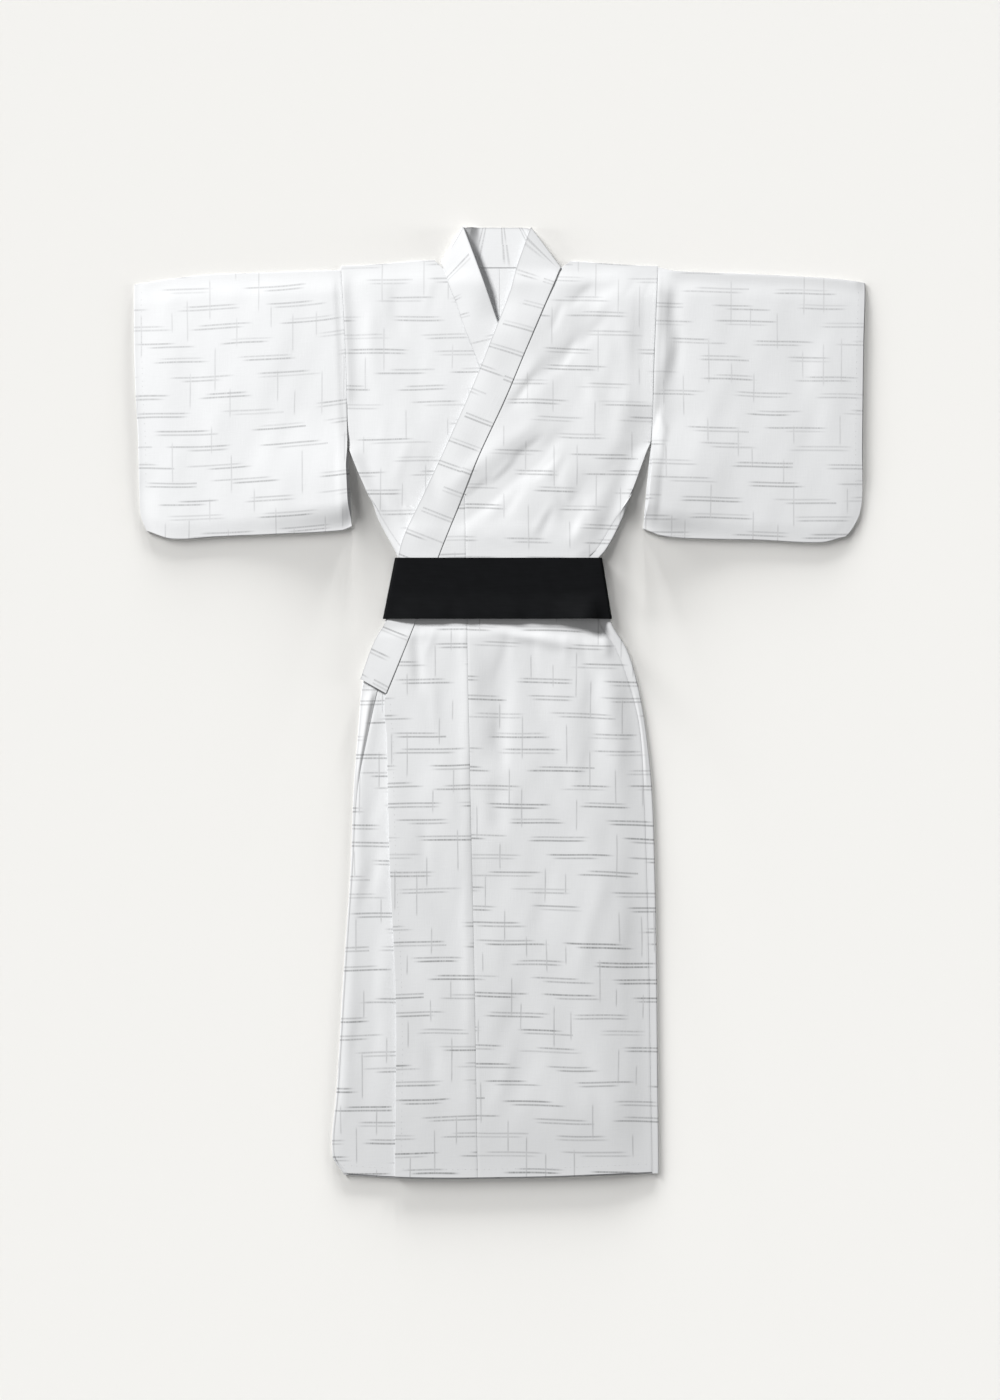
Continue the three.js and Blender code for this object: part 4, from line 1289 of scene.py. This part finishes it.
# Sizes of the stage in metres. The camera's frame has a height in units, with the hem this
# many of them from its top.
FLOOR_REACH = 6.0
FLOOR_GAP = 0.0004
UNIT = 0.0018
FRAME = 1400
HEM_AT = 1179
CAMERA_AWAY = 6.0
SOFTBOX_AWAY = (-5.6, 6.3)
SOFTBOX_POWER = 1268.0
# Each has a power, a width, a turn round the garment and a rise over the floor, in degrees.
FLOOR_LIGHTS = (
    ("head strip", 6.45, 5.5, 90, 3.2),
    ("left head strip", 5.65, 5.5, 106, 3.2),
    ("right head strip", 5.65, 5.5, 74, 3.2),
    ("left strip", 1.78, 14, 180, 8),
    ("right strip", 1.56, 14, 0, 8),
    ("corner lamp", 1.95, 14, 134, 20),
    ("low corner lamp", 4.8, 12, 134, 8.5),
)


class YukataSettings(bpy.types.PropertyGroup):
    """Sizes and colours of the yukata that can be changed."""

    row_gap: FloatProperty(
        name="Row spacing", description="Distance between rows of weft marks",
        default=0.0315, min=0.01, max=0.2, unit="LENGTH", subtype="DISTANCE")
    dash_pitch: FloatProperty(
        name="Mark pitch", description="Distance from one weft mark to the next in a row",
        default=0.158, min=0.05, max=0.6, unit="LENGTH", subtype="DISTANCE")
    collar_gap: FloatProperty(
        name="Collar row spacing", description="Distance between rows of marks along the collar",
        default=0.046, min=0.01, max=0.2, unit="LENGTH", subtype="DISTANCE")
    warp_gap: FloatProperty(
        name="Warp mark spacing", description="Average distance between warp marks",
        default=0.04, min=0.01, max=0.3, unit="LENGTH", subtype="DISTANCE")
    stitch_spacing: FloatProperty(
        name="Stitch spacing", description="Distance between the slip stitches of the hems",
        default=0.011, min=0.003, max=0.05, unit="LENGTH", subtype="DISTANCE")
    dash_colour: FloatVectorProperty(
        name="Mark colour", description="Colour of the woven marks",
        default=linear("#a0a1a2")[:3], size=3, min=0, max=1, subtype="COLOR")
    belt_colour: FloatVectorProperty(
        name="Belt colour", description="Colour of the belt's cloth",
        default=linear("#101113")[:3], size=3, min=0, max=1, subtype="COLOR")
    light_height: FloatProperty(
        name="Light elevation", description="Angle of the soft key light above the surface",
        default=math.radians(30.0), min=0.1, max=1.5, subtype="ANGLE")


class YUKATA_OT_stage(bpy.types.Operator):
    """Add the floor, the soft lights and the camera"""

    bl_idname = "yukata.stage"
    bl_label = "Stage"

    def floor(self):
        """A wide square of matt paper, a little under the garment."""
        mesh = bpy.data.meshes.new("floor")
        floor_z = CAD_BOX[0][2] - FLOOR_GAP
        corners = [(x * FLOOR_REACH, y * FLOOR_REACH, floor_z)
                   for x, y in ((-1, -1), (1, -1), (1, 1), (-1, 1))]
        mesh.from_pydata(corners, [], [(0, 1, 2, 3)])
        made = bpy.data.objects.new("floor", mesh)
        mesh.materials.append(new_material("Matt warm-white paper", {
            "Base Color": linear("#eae9e6"), "Roughness": 0.95, "Specular IOR Level": 0.0})[0])
        bpy.context.scene.collection.objects.link(made)
        return made

    def lamp(self, name, kind, power, spread, place, receivers):
        """A lamp that shines from a place to the middle, on the objects of one collection."""
        light = bpy.data.lights.new(name, kind)
        light.energy = power
        if kind == "SUN":
            light.angle = math.radians(spread)
        else:
            light.shape = "DISK"
            light.size = spread
        made = bpy.data.objects.new(name, light)
        made.location = place
        made.rotation_euler = Vector(place).to_track_quat("Z", "Y").to_euler()
        made.light_linking.receiver_collection = receivers
        bpy.context.scene.collection.objects.link(made)

    def lights(self, floor, height):
        """Two sets of soft lights: one for the garment from its upper left, one for the floor."""
        for_floor = bpy.data.collections.new("lit by floor lights")
        for_floor.objects.link(floor)
        for_garment = bpy.data.collections.new("lit by garment lights")
        for_garment.objects.link(floor)
        for_garment.collection_objects[0].light_linking.link_state = "EXCLUDE"
        away_x, away_y = SOFTBOX_AWAY
        softbox = (away_x, away_y, math.hypot(away_x, away_y) * math.tan(height))
        self.lamp("large softbox", "AREA", SOFTBOX_POWER, 2.0, softbox, for_garment)
        for name, power, spread, turn, rise in FLOOR_LIGHTS:
            turn, rise = math.radians(turn), math.radians(rise)
            place = (math.cos(turn) * math.cos(rise), math.sin(turn) * math.cos(rise), math.sin(rise))
            self.lamp(name, "SUN", power, spread, place, for_floor)
        world = bpy.data.worlds.new("studio")
        world.use_nodes = True
        sky = world.node_tree.nodes["Background"]
        sky.inputs["Color"].default_value = (1.0, 1.0, 1.0, 1.0)
        sky.inputs["Strength"].default_value = 0.2
        bpy.context.scene.world = world

    def camera(self):
        """A long lens straight above: its focal length is the sensor times distance by frame."""
        camera = bpy.data.cameras.new("camera")
        camera.sensor_fit = "VERTICAL"
        camera.sensor_height = 36.0
        camera.lens = 36.0 * CAMERA_AWAY / (FRAME * UNIT)
        view = bpy.data.objects.new("camera", camera)
        view.location = (UNIT / 2, HEM_Y + (HEM_AT - FRAME / 2) * UNIT, CAMERA_AWAY)
        bpy.context.scene.collection.objects.link(view)
        bpy.context.scene.camera = view
        bpy.context.scene.view_settings.view_transform = "Standard"

    def execute(self, context):
        self.lights(self.floor(), context.scene.yukata.light_height)
        self.camera()
        return {"FINISHED"}


class YUKATA_OT_body(bpy.types.Operator):
    """Add the two halves of the body"""

    bl_idname = "yukata.body"
    bl_label = "Body"

    def execute(self, context):
        for side in (-1, 1):
            piece = body_half(side, context.scene.yukata)
        return {"FINISHED"}


class YUKATA_OT_overlaps(bpy.types.Operator):
    """Add the overlap panel of each front"""

    bl_idname = "yukata.overlaps"
    bl_label = "Overlap panels"

    def execute(self, context):
        for side in (-1, 1):
            piece = overlap_panel(side, context.scene.yukata)
        return {"FINISHED"}


class YUKATA_OT_sleeves(bpy.types.Operator):
    """Add the two sleeves"""

    bl_idname = "yukata.sleeves"
    bl_label = "Sleeves"

    def execute(self, context):
        for side in (-1, 1):
            piece = sleeve(side, context.scene.yukata)
        return {"FINISHED"}


class YUKATA_OT_collar(bpy.types.Operator):
    """Add the collar band"""

    bl_idname = "yukata.collar"
    bl_label = "Collar"

    def execute(self, context):
        piece = collar_band(context.scene.yukata)
        return {"FINISHED"}


class YUKATA_OT_belt(bpy.types.Operator):
    """Add the belt"""

    bl_idname = "yukata.belt"
    bl_label = "Belt"

    def execute(self, context):
        piece = belt_band(context.scene.yukata)
        return {"FINISHED"}


class YUKATA_OT_stitches(bpy.types.Operator):
    """Add the slip stitches of the hems"""

    bl_idname = "yukata.stitches"
    bl_label = "Stitches"

    def execute(self, context):
        hem_stitches(context.scene.yukata)
        return {"FINISHED"}


class YUKATA_PT_panel(bpy.types.Panel):
    """Settings and steps for the yukata"""

    bl_idname = "YUKATA_PT_panel"
    bl_label = "Yukata"
    bl_space_type = "VIEW_3D"
    bl_region_type = "UI"
    bl_category = "Yukata"

    def draw(self, context):
        for name in YukataSettings.__annotations__:
            self.layout.prop(context.scene.yukata, name)
        for operator in OPERATORS:
            self.layout.operator(operator.bl_idname)


OPERATORS = (
    YUKATA_OT_stage, YUKATA_OT_body, YUKATA_OT_overlaps, YUKATA_OT_sleeves, YUKATA_OT_collar,
    YUKATA_OT_belt, YUKATA_OT_stitches,
)
CLASSES = (YukataSettings, *OPERATORS, YUKATA_PT_panel)


def register():
    """Adds the classes and the scene's settings."""
    for item in CLASSES:
        bpy.utils.register_class(item)
    bpy.types.Scene.yukata = PointerProperty(type=YukataSettings)


def unregister():
    """Takes them away again."""
    del bpy.types.Scene.yukata
    for item in reversed(CLASSES):
        bpy.utils.unregister_class(item)


def main():
    """Builds the scene."""
    register()
    bpy.ops.yukata.stage()
    bpy.ops.yukata.body()
    bpy.ops.yukata.overlaps()
    bpy.ops.yukata.sleeves()
    bpy.ops.yukata.collar()
    bpy.ops.yukata.belt()
    bpy.ops.yukata.stitches()


if __name__ == "__main__":
    main()
